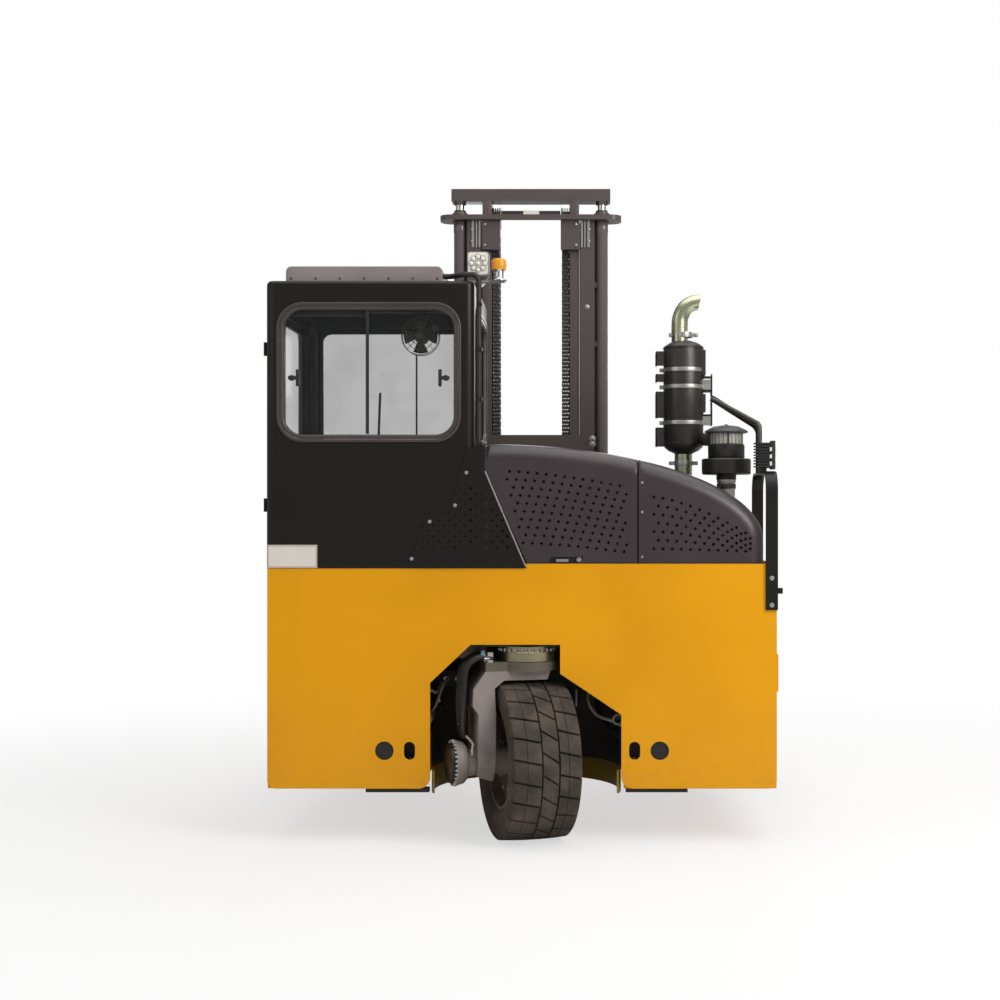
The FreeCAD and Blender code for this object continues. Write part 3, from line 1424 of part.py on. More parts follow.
def chains(middle):
    """The sheaves hung from the crosshead, and the strands behind and ahead of them."""
    top, high = d.mast_top - d.head_tall, d.sheave_high
    wheels = [rod("sheave%d" % side, "x", (middle, high), d.sheave_radius,
                  about(side * d.chain_half, d.sheave_half)) for side in (-1, 1)]
    straps = [box("sheave_bracket%d" % side, about(side * d.chain_half, d.sheave_strap),
                  about(middle, d.sheave_strap_deep), (high, top)) for side in (-1, 1)]
    node("chain_sheaves", fuse("sheaves_whole", *wheels, *straps))
    for word, way, low in (("rear", -1, d.rear_chain_low), ("front", 1, d.front_chain_low)):
        strands = [box("%s_chain%d" % (word, side), about(side * d.chain_half, d.chain_wide / 2),
                       about(middle + way * d.chain_spread, d.chain_thick / 2),
                       (low, high - d.sheave_radius - d.chain_gap)) for side in (-1, 1)]
        node(word + "_chains", fuse(word + "_chains_whole", *strands))


def carriage(front, middle):
    """Cheeks with rollers in the inner rails, two bars and posts, and the forks on them."""
    back, face = front + d.carriage_gap, front + d.carriage_gap + d.carriage_thick
    parts = []
    for side in (-1, 1):
        parts.append(box("cheek%d" % side, sided(side, d.cheek_near, d.cheek_far),
                         (middle - d.cheek_back, back + d.cheek_lap), (d.cheek_foot, d.cheek_top)))
        for number, z in enumerate((d.roller_low, d.roller_high)):
            parts.append(rod("cheek_stub%d_%d" % (side, number), "x", (middle, z), d.roller_stub,
                             sided(side, d.cheek_far - d.cheek_lap, d.roller_near + d.roller_lap)))
            parts.append(rod("cheek_roller%d_%d" % (side, number), "x", (middle, z), d.roller,
                             sided(side, d.roller_near, d.roller_far)))
        parts.append(box("carriage_post%d" % side, about(side * d.post_side, d.post_half),
                         (back, face), (d.carriage_low + d.carriage_tall - d.carriage_lap,
                                        d.carriage_low + d.carriage_rise + d.carriage_lap)))
    for number, low in enumerate((d.carriage_low, d.carriage_low + d.carriage_rise)):
        parts.append(box("carriage_bar%d" % number, (-d.carriage_half, d.carriage_half),
                         (back, face), (low, low + d.carriage_tall)))
    node("fork_carriage", fuse("carriage_whole", *parts))
    low, heel = d.fork_low, d.fork_thick
    profile = [(face, low), (face + d.fork_reach, low), (face + d.fork_reach, low + d.fork_tip),
               (face + d.fork_taper, low + heel), (face + heel, low + heel),
               (face + heel, d.fork_high), (face, d.fork_high)]
    forks = [prism("fork%d" % side, "YZ", about(side * d.fork_half, d.fork_wide / 2), profile)
             for side in (-1, 1)]
    node("forks", fuse("forks_whole", *forks))


def build():
    node("chassis_rear_panel", rear_panel())
    node("chassis_left_side", body_side("left_side", -1))
    node("chassis_right_side", body_side("right_side", 1))
    node("chassis_wheel_well", wheel_well())
    node("chassis_wheel_skirt", skirt())
    node("deck_left", deck("left_deck", -1))
    node("deck_right", deck("right_deck", 1))
    slewing()
    node("rear_fork", rear_fork())
    node("rear_drive_motor", drive_motor())
    node("rear_tyre", place_rear(tyre("tyre_rear", d.rear_radius, d.rear_wide, d.rear_bead,
                                      d.wheel_offset), d.rear_radius))
    node("rear_rim", place_rear(rim("rim_rear", d.rear_bead, d.rear_wide,
                                    d.axle_radius + d.hub_clear, d.wheel_offset - d.rear_disc,
                                    d.wheel_offset), d.rear_radius))
    for side, word in ((-1, "left"), (1, "right")):
        axle = (side * d.front_track, at(d.front_base), d.front_radius)
        node("front_knuckle_" + word, knuckle("knuckle_" + word, side))
        wheel = tyre("tyre_" + word, d.front_radius, d.front_wide, d.front_bead)
        move_to(wheel, *axle)
        node("front_tyre_" + word, wheel)
        disc = rim("rim_" + word, d.front_bead, d.front_wide, d.front_axle + d.hub_clear,
                   side * d.front_disc)
        move_to(disc, *axle)
        node("front_rim_" + word, disc)
    cab()
    engine_side()
    roof_lamps()
    mast()


def check_and_write():
    doc.recompute()
    for thing in doc.Objects:
        if any(word in str(thing.State) for word in ("Invalid", "Error")):
            raise RuntimeError("failed: %s %s" % (thing.Name, thing.State))
    os.makedirs("parts", exist_ok=True)
    for thing in NODES:
        if thing.Shape.isNull() or not thing.Shape.isValid():
            raise RuntimeError("bad shape: " + thing.Label)
        thing.Shape.exportStep("parts/%s.step" % thing.Label)


build()
check_and_write()
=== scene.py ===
"""Looks of a four-way sideloader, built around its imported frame."""
import json
import math

import bmesh
import bpy
import numpy as np
from bpy.props import FloatProperty, FloatVectorProperty, IntProperty, PointerProperty
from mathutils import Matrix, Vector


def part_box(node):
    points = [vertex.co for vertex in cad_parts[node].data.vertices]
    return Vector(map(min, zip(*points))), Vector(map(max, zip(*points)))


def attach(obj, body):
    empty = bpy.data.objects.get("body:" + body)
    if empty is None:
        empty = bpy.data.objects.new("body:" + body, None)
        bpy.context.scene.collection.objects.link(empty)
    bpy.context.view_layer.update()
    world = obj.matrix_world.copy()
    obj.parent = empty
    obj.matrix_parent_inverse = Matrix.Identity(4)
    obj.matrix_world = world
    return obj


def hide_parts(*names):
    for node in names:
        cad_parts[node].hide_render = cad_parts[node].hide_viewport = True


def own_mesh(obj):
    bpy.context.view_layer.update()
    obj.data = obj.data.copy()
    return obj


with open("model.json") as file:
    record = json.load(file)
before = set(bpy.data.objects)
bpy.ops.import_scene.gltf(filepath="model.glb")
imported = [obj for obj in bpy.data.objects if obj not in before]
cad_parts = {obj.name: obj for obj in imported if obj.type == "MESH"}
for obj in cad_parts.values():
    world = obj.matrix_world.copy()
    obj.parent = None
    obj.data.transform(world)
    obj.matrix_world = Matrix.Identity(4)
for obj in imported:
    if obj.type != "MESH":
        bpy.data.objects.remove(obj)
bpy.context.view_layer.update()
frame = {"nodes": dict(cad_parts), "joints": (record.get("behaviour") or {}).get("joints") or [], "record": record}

bl_info = {
    "name": "Four-way sideloader",
    "version": (1, 0, 0),
    "blender": (4, 5, 0),
    "location": "3D Viewport > Sidebar > Sideloader",
    "description": "Dresses the frame of a four-way sideloader with its finished pieces",
    "category": "Object",
}

NODES = frame["nodes"]
BODY_OF = {node: body for body, nodes in frame["record"]["behaviour"]["bodies"].items()
           for node in nodes}
SLOT_OF = {part["node"]: part["material_slot"] for part in frame["record"]["subparts"]}
JOINTS = {joint["name"]: joint for joint in frame["joints"]}
MM = 0.001


def span(node, axis):
    """Lowest and highest value of a CAD node along one axis."""
    low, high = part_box(node)
    return low["xyz".index(axis)], high["xyz".index(axis)]


REAR = span("chassis_rear_panel", "y")[0]


def at(depth):
    """Y of a place that lies `depth` millimetres in front of the rear panel's face."""
    return REAR + depth * MM


# ------------------------------------------------------------------ colours and finishes

def srgb(red, green, highlit_cap):
    """A colour given as eight-bit screen values, made linear."""
    share = np.array([red, green, highlit_cap]) / 255
    linear = np.where(share <= 0.04045, share / 12.92, ((share + 0.055) / 1.055) ** 2.4)
    return tuple(float(value) for value in linear) + (1.0,)


class Wire:
    """A socket that takes part in arithmetic; each operator adds its Math node."""

    def __init__(self, finish, socket):
        self.finish, self.socket = finish, socket

    def math(self, operation, *others):
        """A Math node with this wire first."""
        return self.finish.node("Math", {"operation": operation}, (self,) + others)

    def __add__(self, other):
        return self.math("ADD", other)

    def __sub__(self, other):
        return self.math("SUBTRACT", other)

    def __mul__(self, other):
        return self.math("MULTIPLY", other)

    __radd__, __rmul__ = __add__, __mul__

    def __rsub__(self, other):
        return self.finish.node("Math", {"operation": "SUBTRACT"}, (other, self))

    def smooth(self, low, high):
        """0 below low, 1 above high and an even S between them."""
        return self.finish.node("MapRange", {"interpolation_type": "SMOOTHSTEP"},
                                {"Value": self, "From Min": low, "From Max": high}, "Result")


class Finish:
    """One procedural material: a Principled shader and the nodes that feed it."""

    made = {}

    def __init__(self, name, **constants):
        self.material = bpy.data.materials.new(name)
        self.material.use_nodes = True
        self.tree = self.material.node_tree
        self.shader = self.tree.nodes["Principled BSDF"]
        self.feed(**constants)
        Finish.made[name] = self.material

    def plug(self, socket, value):
        """Link a wire to a socket, or set the socket's value."""
        if isinstance(value, Wire):
            self.tree.links.new(value.socket, socket)
        else:
            socket.default_value = value

    def node(self, kind, settings=None, inputs=(), output=0):
        """Add a node: its settings first, then the values or wires of its inputs."""
        node = self.tree.nodes.new("ShaderNode" + kind)
        for name, value in (settings or {}).items():
            setattr(node, name, value)
        pairs = inputs.items() if isinstance(inputs, dict) else enumerate(inputs)
        for key, value in pairs:
            self.plug(node.inputs[key], value)
        return Wire(self, node.outputs[output])

    def feed(self, **sockets):
        """Set or link the shader's sockets; base_color stands for Base Color."""
        for name, value in sockets.items():
            title = name.replace("_", " ").title().replace("Ior", "IOR")
            self.plug(self.shader.inputs[title], value)

    def place(self, stretch=(1, 1, 1)):
        """Where a point of the piece is, in metres, stretched along each axis."""
        here = self.node("TexCoord", output="Object")
        return self.node("Mapping", inputs={"Vector": here, "Scale": stretch})

    def axis(self, name):
        """One coordinate of a point of the piece, in metres."""
        return self.node("SeparateXYZ", inputs=(self.node("TexCoord", output="Object"),),
                         output=name.upper())

    def noise(self, scale, detail=3.0, stretch=(1, 1, 1)):
        """Cloudy noise, about `scale` clouds to a metre."""
        return self.node("TexNoise", {}, {"Vector": self.place(stretch), "Scale": scale,
                                          "Detail": detail})

    def blend(self, factor, first, second):
        """Mix two colours by a factor."""
        mix = self.tree.nodes.new("ShaderNodeMix")
        mix.data_type = "RGBA"
        self.plug(mix.inputs[0], factor)
        self.plug(mix.inputs[6], first)
        self.plug(mix.inputs[7], second)
        return Wire(self, mix.outputs[2])

    def bump(self, height, distance, strength=1.0):
        """The normal of a surface that a wire raises by `distance` metres."""
        return self.node("Bump", {}, {"Strength": strength, "Distance": distance,
                                      "Height": height})


def shaded(colour, share):
    """A colour made darker or lighter by a factor."""
    return tuple(value * share for value in colour[:3]) + (1.0,)


def paint_finish(name, colour, roughness, coat, low_darkening, grain=0.00012):
    """Sprayed paint: a slow change of tone, orange peel, and brownish speckles that darken it towards the bottom.
    """
    finish = Finish(name, coat_weight=coat, coat_roughness=0.12, specular_ior_level=0.22)
    tone = finish.noise(1.7, 2).smooth(0.3, 0.7)
    fine = finish.noise(38, 4).smooth(0.35, 0.75)
    body = finish.blend(tone, shaded(colour, 0.93), shaded(colour, 1.04))
    # Brownish speckles, stronger towards the bottom, darken the paint there.
    low = 1 - finish.axis("z").smooth(0.22, 0.75)
    finish.feed(base_color=finish.blend(low * fine * low_darkening, body, srgb(120, 104, 80)),
                roughness=roughness + finish.noise(9, 3) * 0.10 + low * 0.08,
                normal=finish.bump(finish.noise(420, 2), grain))
    return finish.material


def metal_finish(name, colour, roughness, metallic, streak=(1, 1, 1), soot=0.3):
    """Bare or thinly painted metal: streaks along one axis and darker stains."""
    finish = Finish(name)
    stain = finish.noise(14, 5).smooth(0.42, 0.72)
    drawn = finish.noise(60, 4, streak)
    finish.feed(base_color=finish.blend(stain * soot, colour, shaded(colour, 0.45)),
                metallic=metallic - stain * 0.2,
                roughness=roughness + drawn * 0.12 + stain * 0.1,
                normal=finish.bump(drawn, 0.0001))
    return finish.material


def moulded_finish(name, colour, roughness, grain=0.00025):
    """Moulded plastic with a fine leathery grain."""
    finish = Finish(name)
    cells = finish.node("TexVoronoi", {"feature": "F1"},
                        {"Vector": finish.place(), "Scale": 420.0}, "Distance")
    tone = finish.noise(3, 3).smooth(0.3, 0.7)
    finish.feed(base_color=finish.blend(tone, shaded(colour, 0.88), shaded(colour, 1.1)),
                roughness=roughness + finish.noise(12, 3) * 0.1,
                normal=finish.bump(cells, grain))
    return finish.material


def rubber_finish(name, colour, dust):
    """Tyre rubber: matt, with pale dust in clouds and specks."""
    finish = Finish(name, specular_ior_level=0.35)
    cloud = finish.noise(11, 5).smooth(0.35, 0.7)
    speck = finish.noise(150, 3).smooth(0.45, 0.65)
    finish.feed(base_color=finish.blend(cloud * 0.45 + speck * 0.15, colour, dust),
                roughness=0.72 + cloud * 0.15,
                normal=finish.bump(finish.noise(260, 4), 0.0006))
    return finish.material


def cast_finish(name, colour):
    """A sand casting under thin paint: coarse skin, paler on worn patches."""
    finish = Finish(name)
    skin = finish.noise(190, 5)
    worn = finish.noise(9, 5).smooth(0.45, 0.75)
    finish.feed(base_color=finish.blend(worn * 0.6, colour, shaded(colour, 0.62)),
                metallic=0.25, roughness=0.5 + worn * 0.15 + skin * 0.1,
                normal=finish.bump(skin, 0.0009))
    return finish.material


def cloth_finish(name, colour):
    """Woven seat cover: two crossed sets of threads."""
    finish = Finish(name, sheen_weight=0.25)
    warp = finish.node("TexWave", {"bands_direction": "X"},
                       {"Vector": finish.place(), "Scale": 180.0}, "Fac")
    weft = finish.node("TexWave", {"bands_direction": "Y"},
                       {"Vector": finish.place(), "Scale": 180.0}, "Fac")
    weave = warp.math("MAXIMUM", weft)
    finish.feed(base_color=finish.blend(weave, shaded(colour, 0.6), shaded(colour, 1.25)),
                roughness=0.85 + finish.noise(30, 2) * 0.1, normal=finish.bump(weave, 0.0004))
    return finish.material


def glass_finish(name, colour):
    """Clear pane with a faint film, so that it both reflects and lets through."""
    finish = Finish(name, transmission_weight=0.0, ior=1.5, specular_ior_level=0.8)
    film = finish.noise(4, 4).smooth(0.4, 0.8)
    finish.feed(base_color=colour, roughness=0.02 + film * 0.04, alpha=0.18 + film * 0.05)
    return finish.material


def make_finishes(looks):
    """Every finish of the machine, by the name of its slot."""
    yellow = tuple(looks.body_yellow) + (1.0,)
    black = tuple(looks.cab_black) + (1.0,)
    paint_finish("yellow_paint", yellow, 0.34, 0.06, 0.08)
    paint_finish("cab_paint", black, 0.32, 0.12, 0.05)
    paint_finish("mast_paint", srgb(84, 75, 74), 0.32, 0.2, 0.12)
    paint_finish("cylinder_paint", srgb(104, 94, 95), 0.16, 0.6, 0.05)
    paint_finish("rim_paint", srgb(92, 84, 78), 0.42, 0.1, 0.4)
    paint_finish("engine_block", srgb(52, 52, 56), 0.5, 0.0, 0.3)
    moulded_finish("hood_shell", srgb(54, 45, 48), 0.28)
    moulded_finish("trim_black", srgb(30, 28, 27), 0.48)
    moulded_finish("roof_grey", srgb(138, 128, 127), 0.36, 0.0001)
    moulded_finish("cleaner_grey", srgb(62, 60, 61), 0.4)
    metal_finish("chrome_rod", srgb(200, 198, 196), 0.08, 1.0, (1, 1, 0.05), 0.05)
    metal_finish("chain_steel", srgb(72, 66, 60), 0.36, 0.8)
    metal_finish("fork_steel", srgb(74, 70, 68), 0.42, 0.7, (1, 0.08, 1))
    metal_finish("exhaust_steel", srgb(184, 188, 156), 0.17, 1.0, (1, 1, 0.1), 0.3)
    metal_finish("muffler_black", srgb(52, 46, 42), 0.26, 0.35, (1, 1, 0.1), 0.2)
    metal_finish("bright_steel", srgb(188, 186, 180), 0.25, 1.0)
    metal_finish("dark_steel", srgb(84, 80, 74), 0.4, 0.75)
    metal_finish("ring_steel", srgb(156, 148, 120), 0.24, 1.0, (1, 1, 0.2), 0.4)
    cast_finish("turntable_paint", srgb(92, 86, 74))
    moulded_finish("pale_hose", srgb(168, 162, 150), 0.4, 0.0001)
    # Light blue: the bluish highlight on top of a black fitting, painted into its colour.
    moulded_finish("fitting_blue", srgb(96, 132, 140), 0.3, 0.0001)
    # Near-black for surfaces in shade: painted shade inside the arch, the latch well and the tail's bore, with
    # some grime.
    moulded_finish("well_black", srgb(24, 21, 18), 0.6)
    moulded_finish("window_seal", srgb(66, 60, 57), 0.2, 0.0001)
    moulded_finish("hose_black", srgb(18, 16, 14), 0.34, 0.0001)
    moulded_finish("motor_black", srgb(30, 27, 24), 0.3, 0.0001)
    moulded_finish("screen_dark", srgb(22, 30, 36), 0.12, 0.0001)
    # Darker olive copy of the body yellow: painted shade on the skirt inside the arch.
    paint_finish("skirt_paint", srgb(128, 104, 10), 0.4, 0.1, 0.5)
    cast_finish("casting_grey", srgb(138, 128, 123))
    rubber_finish("tyre_rubber", srgb(50, 44, 39), srgb(104, 92, 80))
    rubber_finish("seal_rubber", srgb(30, 27, 25), srgb(44, 40, 37))
    cloth_finish("seat_cover", srgb(48, 48, 52))
    glass_finish("window_glass", srgb(44, 46, 46))
    moulded_finish("lamp_lens", srgb(222, 220, 208), 0.18, 0.0001)
    moulded_finish("amber_lens", srgb(236, 158, 30), 0.16, 0.0001)
    moulded_finish("pale_bowl", srgb(170, 166, 158), 0.3)
    moulded_finish("plate_white", srgb(214, 207, 198), 0.5, 0.0001)
    moulded_finish("plate_border", srgb(150, 92, 74), 0.5, 0.0001)


# ------------------------------------------------------------------ surfaces

def turned(profile, centre, axis, sides):
    """Rings of points from a profile of (distance from the axis, place along it).

    Each ring is the circle centre + distance * (cos t, sin t) + place * axis.
    """
    profile = np.asarray(profile, float)
    turn = np.linspace(0, 2 * np.pi, sides, endpoint=False)
    first, second, along = {"x": (1, 2, 0), "y": (2, 0, 1), "z": (0, 1, 2)}[axis]
    rings = np.zeros((len(profile), sides, 3))
    rings[..., first] = profile[:, :1] * np.cos(turn)
    rings[..., second] = profile[:, :1] * np.sin(turn)
    rings[..., along] = profile[:, 1:]
    return rings + np.asarray(centre, float)


def around(reach, count, axis, place=0.0):
    """Points of a circle about an axis through the origin, `place` along that axis."""
    return turned([(reach, place)], (0, 0, 0), axis, count)[0]


class Form:
    """Points and faces of several surfaces, gathered to become one piece."""

    def __init__(self):
        self.points, self.faces, self.count = [], [], 0

    def add(self, points, faces):
        """Take an array of points and an array of faces with one number of corners."""
        points = np.asarray(points, float).reshape(-1, 3)
        self.points.append(points)
        self.faces.append(np.asarray(faces, int) + self.count)
        self.count += len(points)
        return self

    def grid(self, points, round_u=False, round_v=False, flip=False):
        """A surface from an array of points (rows, columns, 3): neighbours share quads.

        round_u joins the last row to the first, round_v the last column to the first.
        """
        rows, columns = points.shape[:2]
        row = np.arange(rows if round_u else rows - 1)[:, None]
        column = np.arange(columns if round_v else columns - 1)[None, :]
        down, right = (row + 1) % rows, (column + 1) % columns
        quads = np.stack([row * columns + column, row * columns + right,
                          down * columns + right, down * columns + column], -1).reshape(-1, 4)
        return self.add(points, quads[:, ::-1] if flip else quads)

    def disc(self, ring, flip=False):
        """One flat face with the ring's points as its corners."""
        corners = np.arange(len(ring))[None, :]
        return self.add(ring, corners[:, ::-1] if flip else corners)

    def prism(self, outline, plane, low, high):
        """A flat outline (n, 2), counter-clockwise in its plane, drawn from low to high."""
        outline = np.asarray(outline, float)
        order = {"xy": (0, 1, 2), "yz": (1, 2, 0), "zx": (2, 0, 1)}[plane]
        rings = []
        for level in (low, high):
            ring = np.zeros((len(outline), 3))
            ring[:, order[0]], ring[:, order[1]], ring[:, order[2]] = *outline.T, level
            rings.append(ring)
        self.grid(np.array(rings), round_v=True)
        self.disc(rings[0], flip=True)
        return self.disc(rings[1])

    def box(self, x, y, z):
        """A block between two values along each axis."""
        corners = [(x[0], y[0]), (x[1], y[0]), (x[1], y[1]), (x[0], y[1])]
        return self.prism(corners, "xy", *z)

    def lathe(self, profile, centre, axis="z", sides=32):
        """A profile turned round an axis; an end that is off the axis is closed by a face."""
        rings = turned(profile, centre, axis, sides)
        self.grid(rings, round_v=True)
        if profile[0][0] > 1e-6:
            self.disc(rings[0], flip=True)
        if profile[-1][0] > 1e-6:
            self.disc(rings[-1])
        return self

    def ring(self, profile, centre, axis="z", sides=48):
        """A closed profile turned round an axis."""
        return self.grid(turned(profile, centre, axis, sides), round_u=True, round_v=True)

    def sweep(self, path, section, up=(0, 0, 1), closed=False):
        """A closed section (m, 2), counter-clockwise, carried along a path (n, 3).

        At each place the section's first number runs along up x direction and its second
        along direction x (up x direction).
        """
        path, section = np.asarray(path, float), np.asarray(section, float)
        ahead = np.roll(path, -1, 0) - np.roll(path, 1, 0)
        if not closed:
            ahead[0], ahead[-1] = path[1] - path[0], path[-1] - path[-2]
        ahead /= np.linalg.norm(ahead, axis=1)[:, None]
        side = np.cross(np.asarray(up, float), ahead)
        side /= np.linalg.norm(side, axis=1)[:, None]
        rise = np.cross(ahead, side)
        rings = (path[:, None] + side[:, None] * section[None, :, :1]
                 + rise[:, None] * section[None, :, 1:])
        self.grid(rings, round_u=closed, round_v=True)
        if not closed:
            self.disc(rings[0], flip=True)
            self.disc(rings[-1])
        return self

    def copies(self, other, places):
        """Repeat another form at several offsets."""
        places = np.asarray(places, float).reshape(-1, 3)
        points = np.concatenate(other.points)
        shift = np.arange(len(places))[:, None, None] * len(points)
        start = self.count
        self.points.append((points[None] + places[:, None]).reshape(-1, 3))
        self.count += len(points) * len(places)
        for faces in other.faces:
            self.faces.append((faces[None] + shift + start).reshape(-1, faces.shape[1]))
        return self

    def moved(self, change):
        """Pass every point through a function of an (n, 3) array."""
        self.points = [change(np.concatenate(self.points))]
        return self

    def mesh(self, name):
        """All gathered surfaces as one mesh."""
        mesh = bpy.data.meshes.new(name)
        points = np.concatenate(self.points)
        corners = np.concatenate([faces.ravel() for faces in self.faces])
        sizes = np.concatenate([np.full(len(faces), faces.shape[1]) for faces in self.faces])
        mesh.vertices.add(len(points))
        mesh.vertices.foreach_set("co", points.ravel())
        mesh.loops.add(len(corners))
        mesh.loops.foreach_set("vertex_index", corners)
        mesh.polygons.add(len(sizes))
        mesh.polygons.foreach_set("loop_start", np.concatenate([[0], np.cumsum(sizes)[:-1]]))
        mesh.update(calc_edges=True)
        mesh.validate()
        return mesh


def circle(radius, sides=12):
    """Points (radius cos t, radius sin t) of a circle."""
    turn = np.linspace(0, 2 * np.pi, sides, endpoint=False)
    return np.stack([np.cos(turn), np.sin(turn)], 1) * radius


def rounded(width, height, radius, steps=6):
    """A rectangle about the origin whose corners are quarter circles, counter-clockwise."""
    turn = np.linspace(0, np.pi / 2, steps)
    arcs = []
    for number, (sx, sy) in enumerate(((1, 1), (-1, 1), (-1, -1), (1, -1))):
        angle = turn + number * np.pi / 2
        centre = np.array([sx * (width / 2 - radius), sy * (height / 2 - radius)])
        arcs.append(centre + radius * np.stack([np.cos(angle), np.sin(angle)], 1))
    return np.concatenate(arcs)


def smooth_path(points, steps=10):
    """A Catmull-Rom curve through the given points, worked out as whole arrays."""
    points = np.asarray(points, float)
    ends = np.concatenate([[2 * points[0] - points[1]], points, [2 * points[-1] - points[-2]]])
    t = np.linspace(0, 1, steps, endpoint=False)[None, :, None]
    a, b, c, e = (ends[i:len(ends) - 3 + i][:, None] for i in range(4))
    curve = 0.5 * (2 * b + (c - a) * t + (2 * a - 5 * b + 4 * c - e) * t ** 2
                   + (3 * b - a - 3 * c + e) * t ** 3)
    return np.concatenate([curve.reshape(-1, 3), points[-1:]])


def add_piece(name, mesh, body, finish, replaces=(), bevel=0.0, angle=35, segments=2):
    """Put a mesh into the scene as a finished piece that rides on a body."""
    piece = bpy.data.objects.new(name, mesh)
    bpy.context.scene.collection.objects.link(piece)
    mesh.materials.clear()
    mesh.materials.append(Finish.made[finish])
    mesh.shade_smooth()
    mesh.set_sharp_from_angle(angle=math.radians(angle))
    if bevel:
        edge = piece.modifiers.new("worn_edges", "BEVEL")
        edge.width, edge.segments, edge.limit_method = bevel, segments, "ANGLE"
        edge.angle_limit, edge.harden_normals = math.radians(angle), True
    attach(piece, body)
    if replaces:
        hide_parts(*replaces)
    slots = [material["slot"] for material in frame["record"]["materials"]]
    finish in slots
    return piece


def form_piece(name, form, finish, body="chassis", **options):
    """Make a form a finished piece that rides on a body."""
    return add_piece(name, form.mesh(name), body, finish, **options)


def merged(node):
    """A copy of a CAD node's mesh whose triangles share their points."""
    mesh = NODES[node].data.copy()
    work = bmesh.new()
    work.from_mesh(mesh)
    bmesh.ops.remove_doubles(work, verts=work.verts, dist=1e-5)
    bmesh.ops.dissolve_limit(work, angle_limit=math.radians(1), verts=work.verts,
                             edges=work.edges)
    work.to_mesh(mesh)
    work.free()
    return mesh


def dress(node, bevel=0.002, finish=None, segments=2, angle=35):
    """Stand a merged copy of a CAD node, with worn edges, in the node's own place."""
    return add_piece(node + "_finished", merged(node), BODY_OF[node], finish or SLOT_OF[node],
                     replaces=(node,), bevel=bevel, segments=segments, angle=angle)


def spots(rows):
    """Places in metres, from rows of X, depth before the rear panel and Z in millimetres."""
    return np.asarray(rows, float) * MM + (0, REAR, 0)


def bolt(radius, height, axis="y", sign=-1):
    """A hexagon head on a round washer, standing on the origin along sign * axis."""
    washer = np.array([(0, 0), (1.35, 0), (1.35, 0.22), (0.9, 0.22)]) * (radius, height)
    crown = np.array([(1, 0.2), (1, 0.86), (0.82, 1), (0, 1)]) * (radius, height)
    head = Form().lathe(washer, (0, 0, 0), axis, 14).lathe(crown, (0, 0, 0), axis, 6)
    turn = np.array([1, -1, -1] if axis == "z" else [-1, -1, 1])
    return head.moved(lambda p: p * turn) if sign < 0 else head


def bolts(form, rows, radius, height, axis="y", sign=-1):
    """The same bolt at several places; all sizes in millimetres."""
    return form.copies(bolt(radius * MM, height * MM, axis, sign), spots(rows))


def block(form, x, depth, z):
    """A block between two values along each axis, in millimetres; X in either order."""
    x = sorted(x)
    low, high = spots([(x[0], depth[0], z[0]), (x[1], depth[1], z[1])])
    return form.box((low[0], high[0]), (low[1], high[1]), (low[2], high[2]))


def extent(node):
    """Lowest and highest X, depth and Z of a CAD node, in millimetres."""
    return (np.array(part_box(node)) - (0, REAR, 0)) / MM


def turning(form, profile, centre, axis="z", sides=32):
    """Form.lathe in millimetres: the centre is X, depth and Z."""
    return form.lathe(np.asarray(profile, float) * MM, spots([centre])[0], axis, sides)


def rod(form, radius, ends, centre, axis="z", sides=32):
    """A plain round rod between two places along its axis, in millimetres."""
    low, high = ends
    return turning(form, [(0, low), (radius, low), (radius, high), (0, high)], centre, axis,
                   sides)


def band(form, profile, centre, axis="z", sides=64):
    """Form.ring in millimetres: the centre is X, depth and Z."""
    return form.ring(np.asarray(profile, float) * MM, spots([centre])[0], axis, sides)


def hose(form, rows, radius, sides=12, steps=10, up=(0.3, 0.2, 1)):
    """A round tube through places in millimetres, along a smooth curve."""
    return form.sweep(smooth_path(spots(rows), steps), circle(radius * MM, sides), up)


WALLS = {"rear": ((1, 0, 0), (0, 1, 0)), "front": ((-1, 0, 0), (0, -1, 0)),
         "left": ((0, -1, 0), (1, 0, 0)), "right": ((0, 1, 0), (-1, 0, 0))}


def rim_round(form, wall, centre, size, radius, section):
    """A section carried round a rounded rectangle that stands on one of the four walls.

    A point is centre + u * along + v * up, with (u, v) on the rectangle; the section's
    first number runs outwards from the rectangle and its second into the machine.
    """
    along, inward = (np.array(way, float) for way in WALLS[wall])
    line = rounded(size[0], size[1], radius, 9) * MM
    path = spots([centre]) + line[:, :1] * along + line[:, 1:] * (0, 0, 1)
    return form.sweep(path, np.asarray(section, float) * MM, inward, closed=True)


# ------------------------------------------------------------------ settings

class MachineLooks(bpy.types.PropertyGroup):
    """Colours that an owner would choose."""

    body_yellow: FloatVectorProperty(
        name="Body yellow", description="Paint of the chassis and decks", subtype="COLOR",
        size=3, min=0, max=1, default=srgb(222, 153, 1)[:3])
    cab_black: FloatVectorProperty(
        name="Cab black", description="Paint of the cab and guards", subtype="COLOR",
        size=3, min=0, max=1, default=srgb(25, 21, 17)[:3])


class TyreSizes(bpy.types.PropertyGroup):
    """Sizes of the tread."""

    pitches: IntProperty(
        name="Tread pitches", description="Blocks around the rear tyre", default=23,
        min=12, max=40)
    groove_depth: FloatProperty(
        name="Groove depth", description="How deep the tread is cut", default=0.014,
        unit="LENGTH")


class HoodSizes(bpy.types.PropertyGroup):
    """Sizes of the engine hood's holes."""

    hole: FloatProperty(
        name="Hole", description="Across one plus-shaped vent hole", default=0.015,
        unit="LENGTH")
    pitch: FloatProperty(
        name="Hole pitch", description="Distance between holes in a row", default=0.0405,
        unit="LENGTH")
    row: FloatProperty(
        name="Row pitch", description="Distance between rows of holes", default=0.034,
        unit="LENGTH")


# ------------------------------------------------------------------ operators

class SIDELOADER_OT_finishes(bpy.types.Operator):
    """Make every finish"""
    bl_idname = "sideloader.finishes"
    bl_label = "Finishes"

    def execute(self, context):
        make_finishes(context.scene.machine_looks)
        return {"FINISHED"}


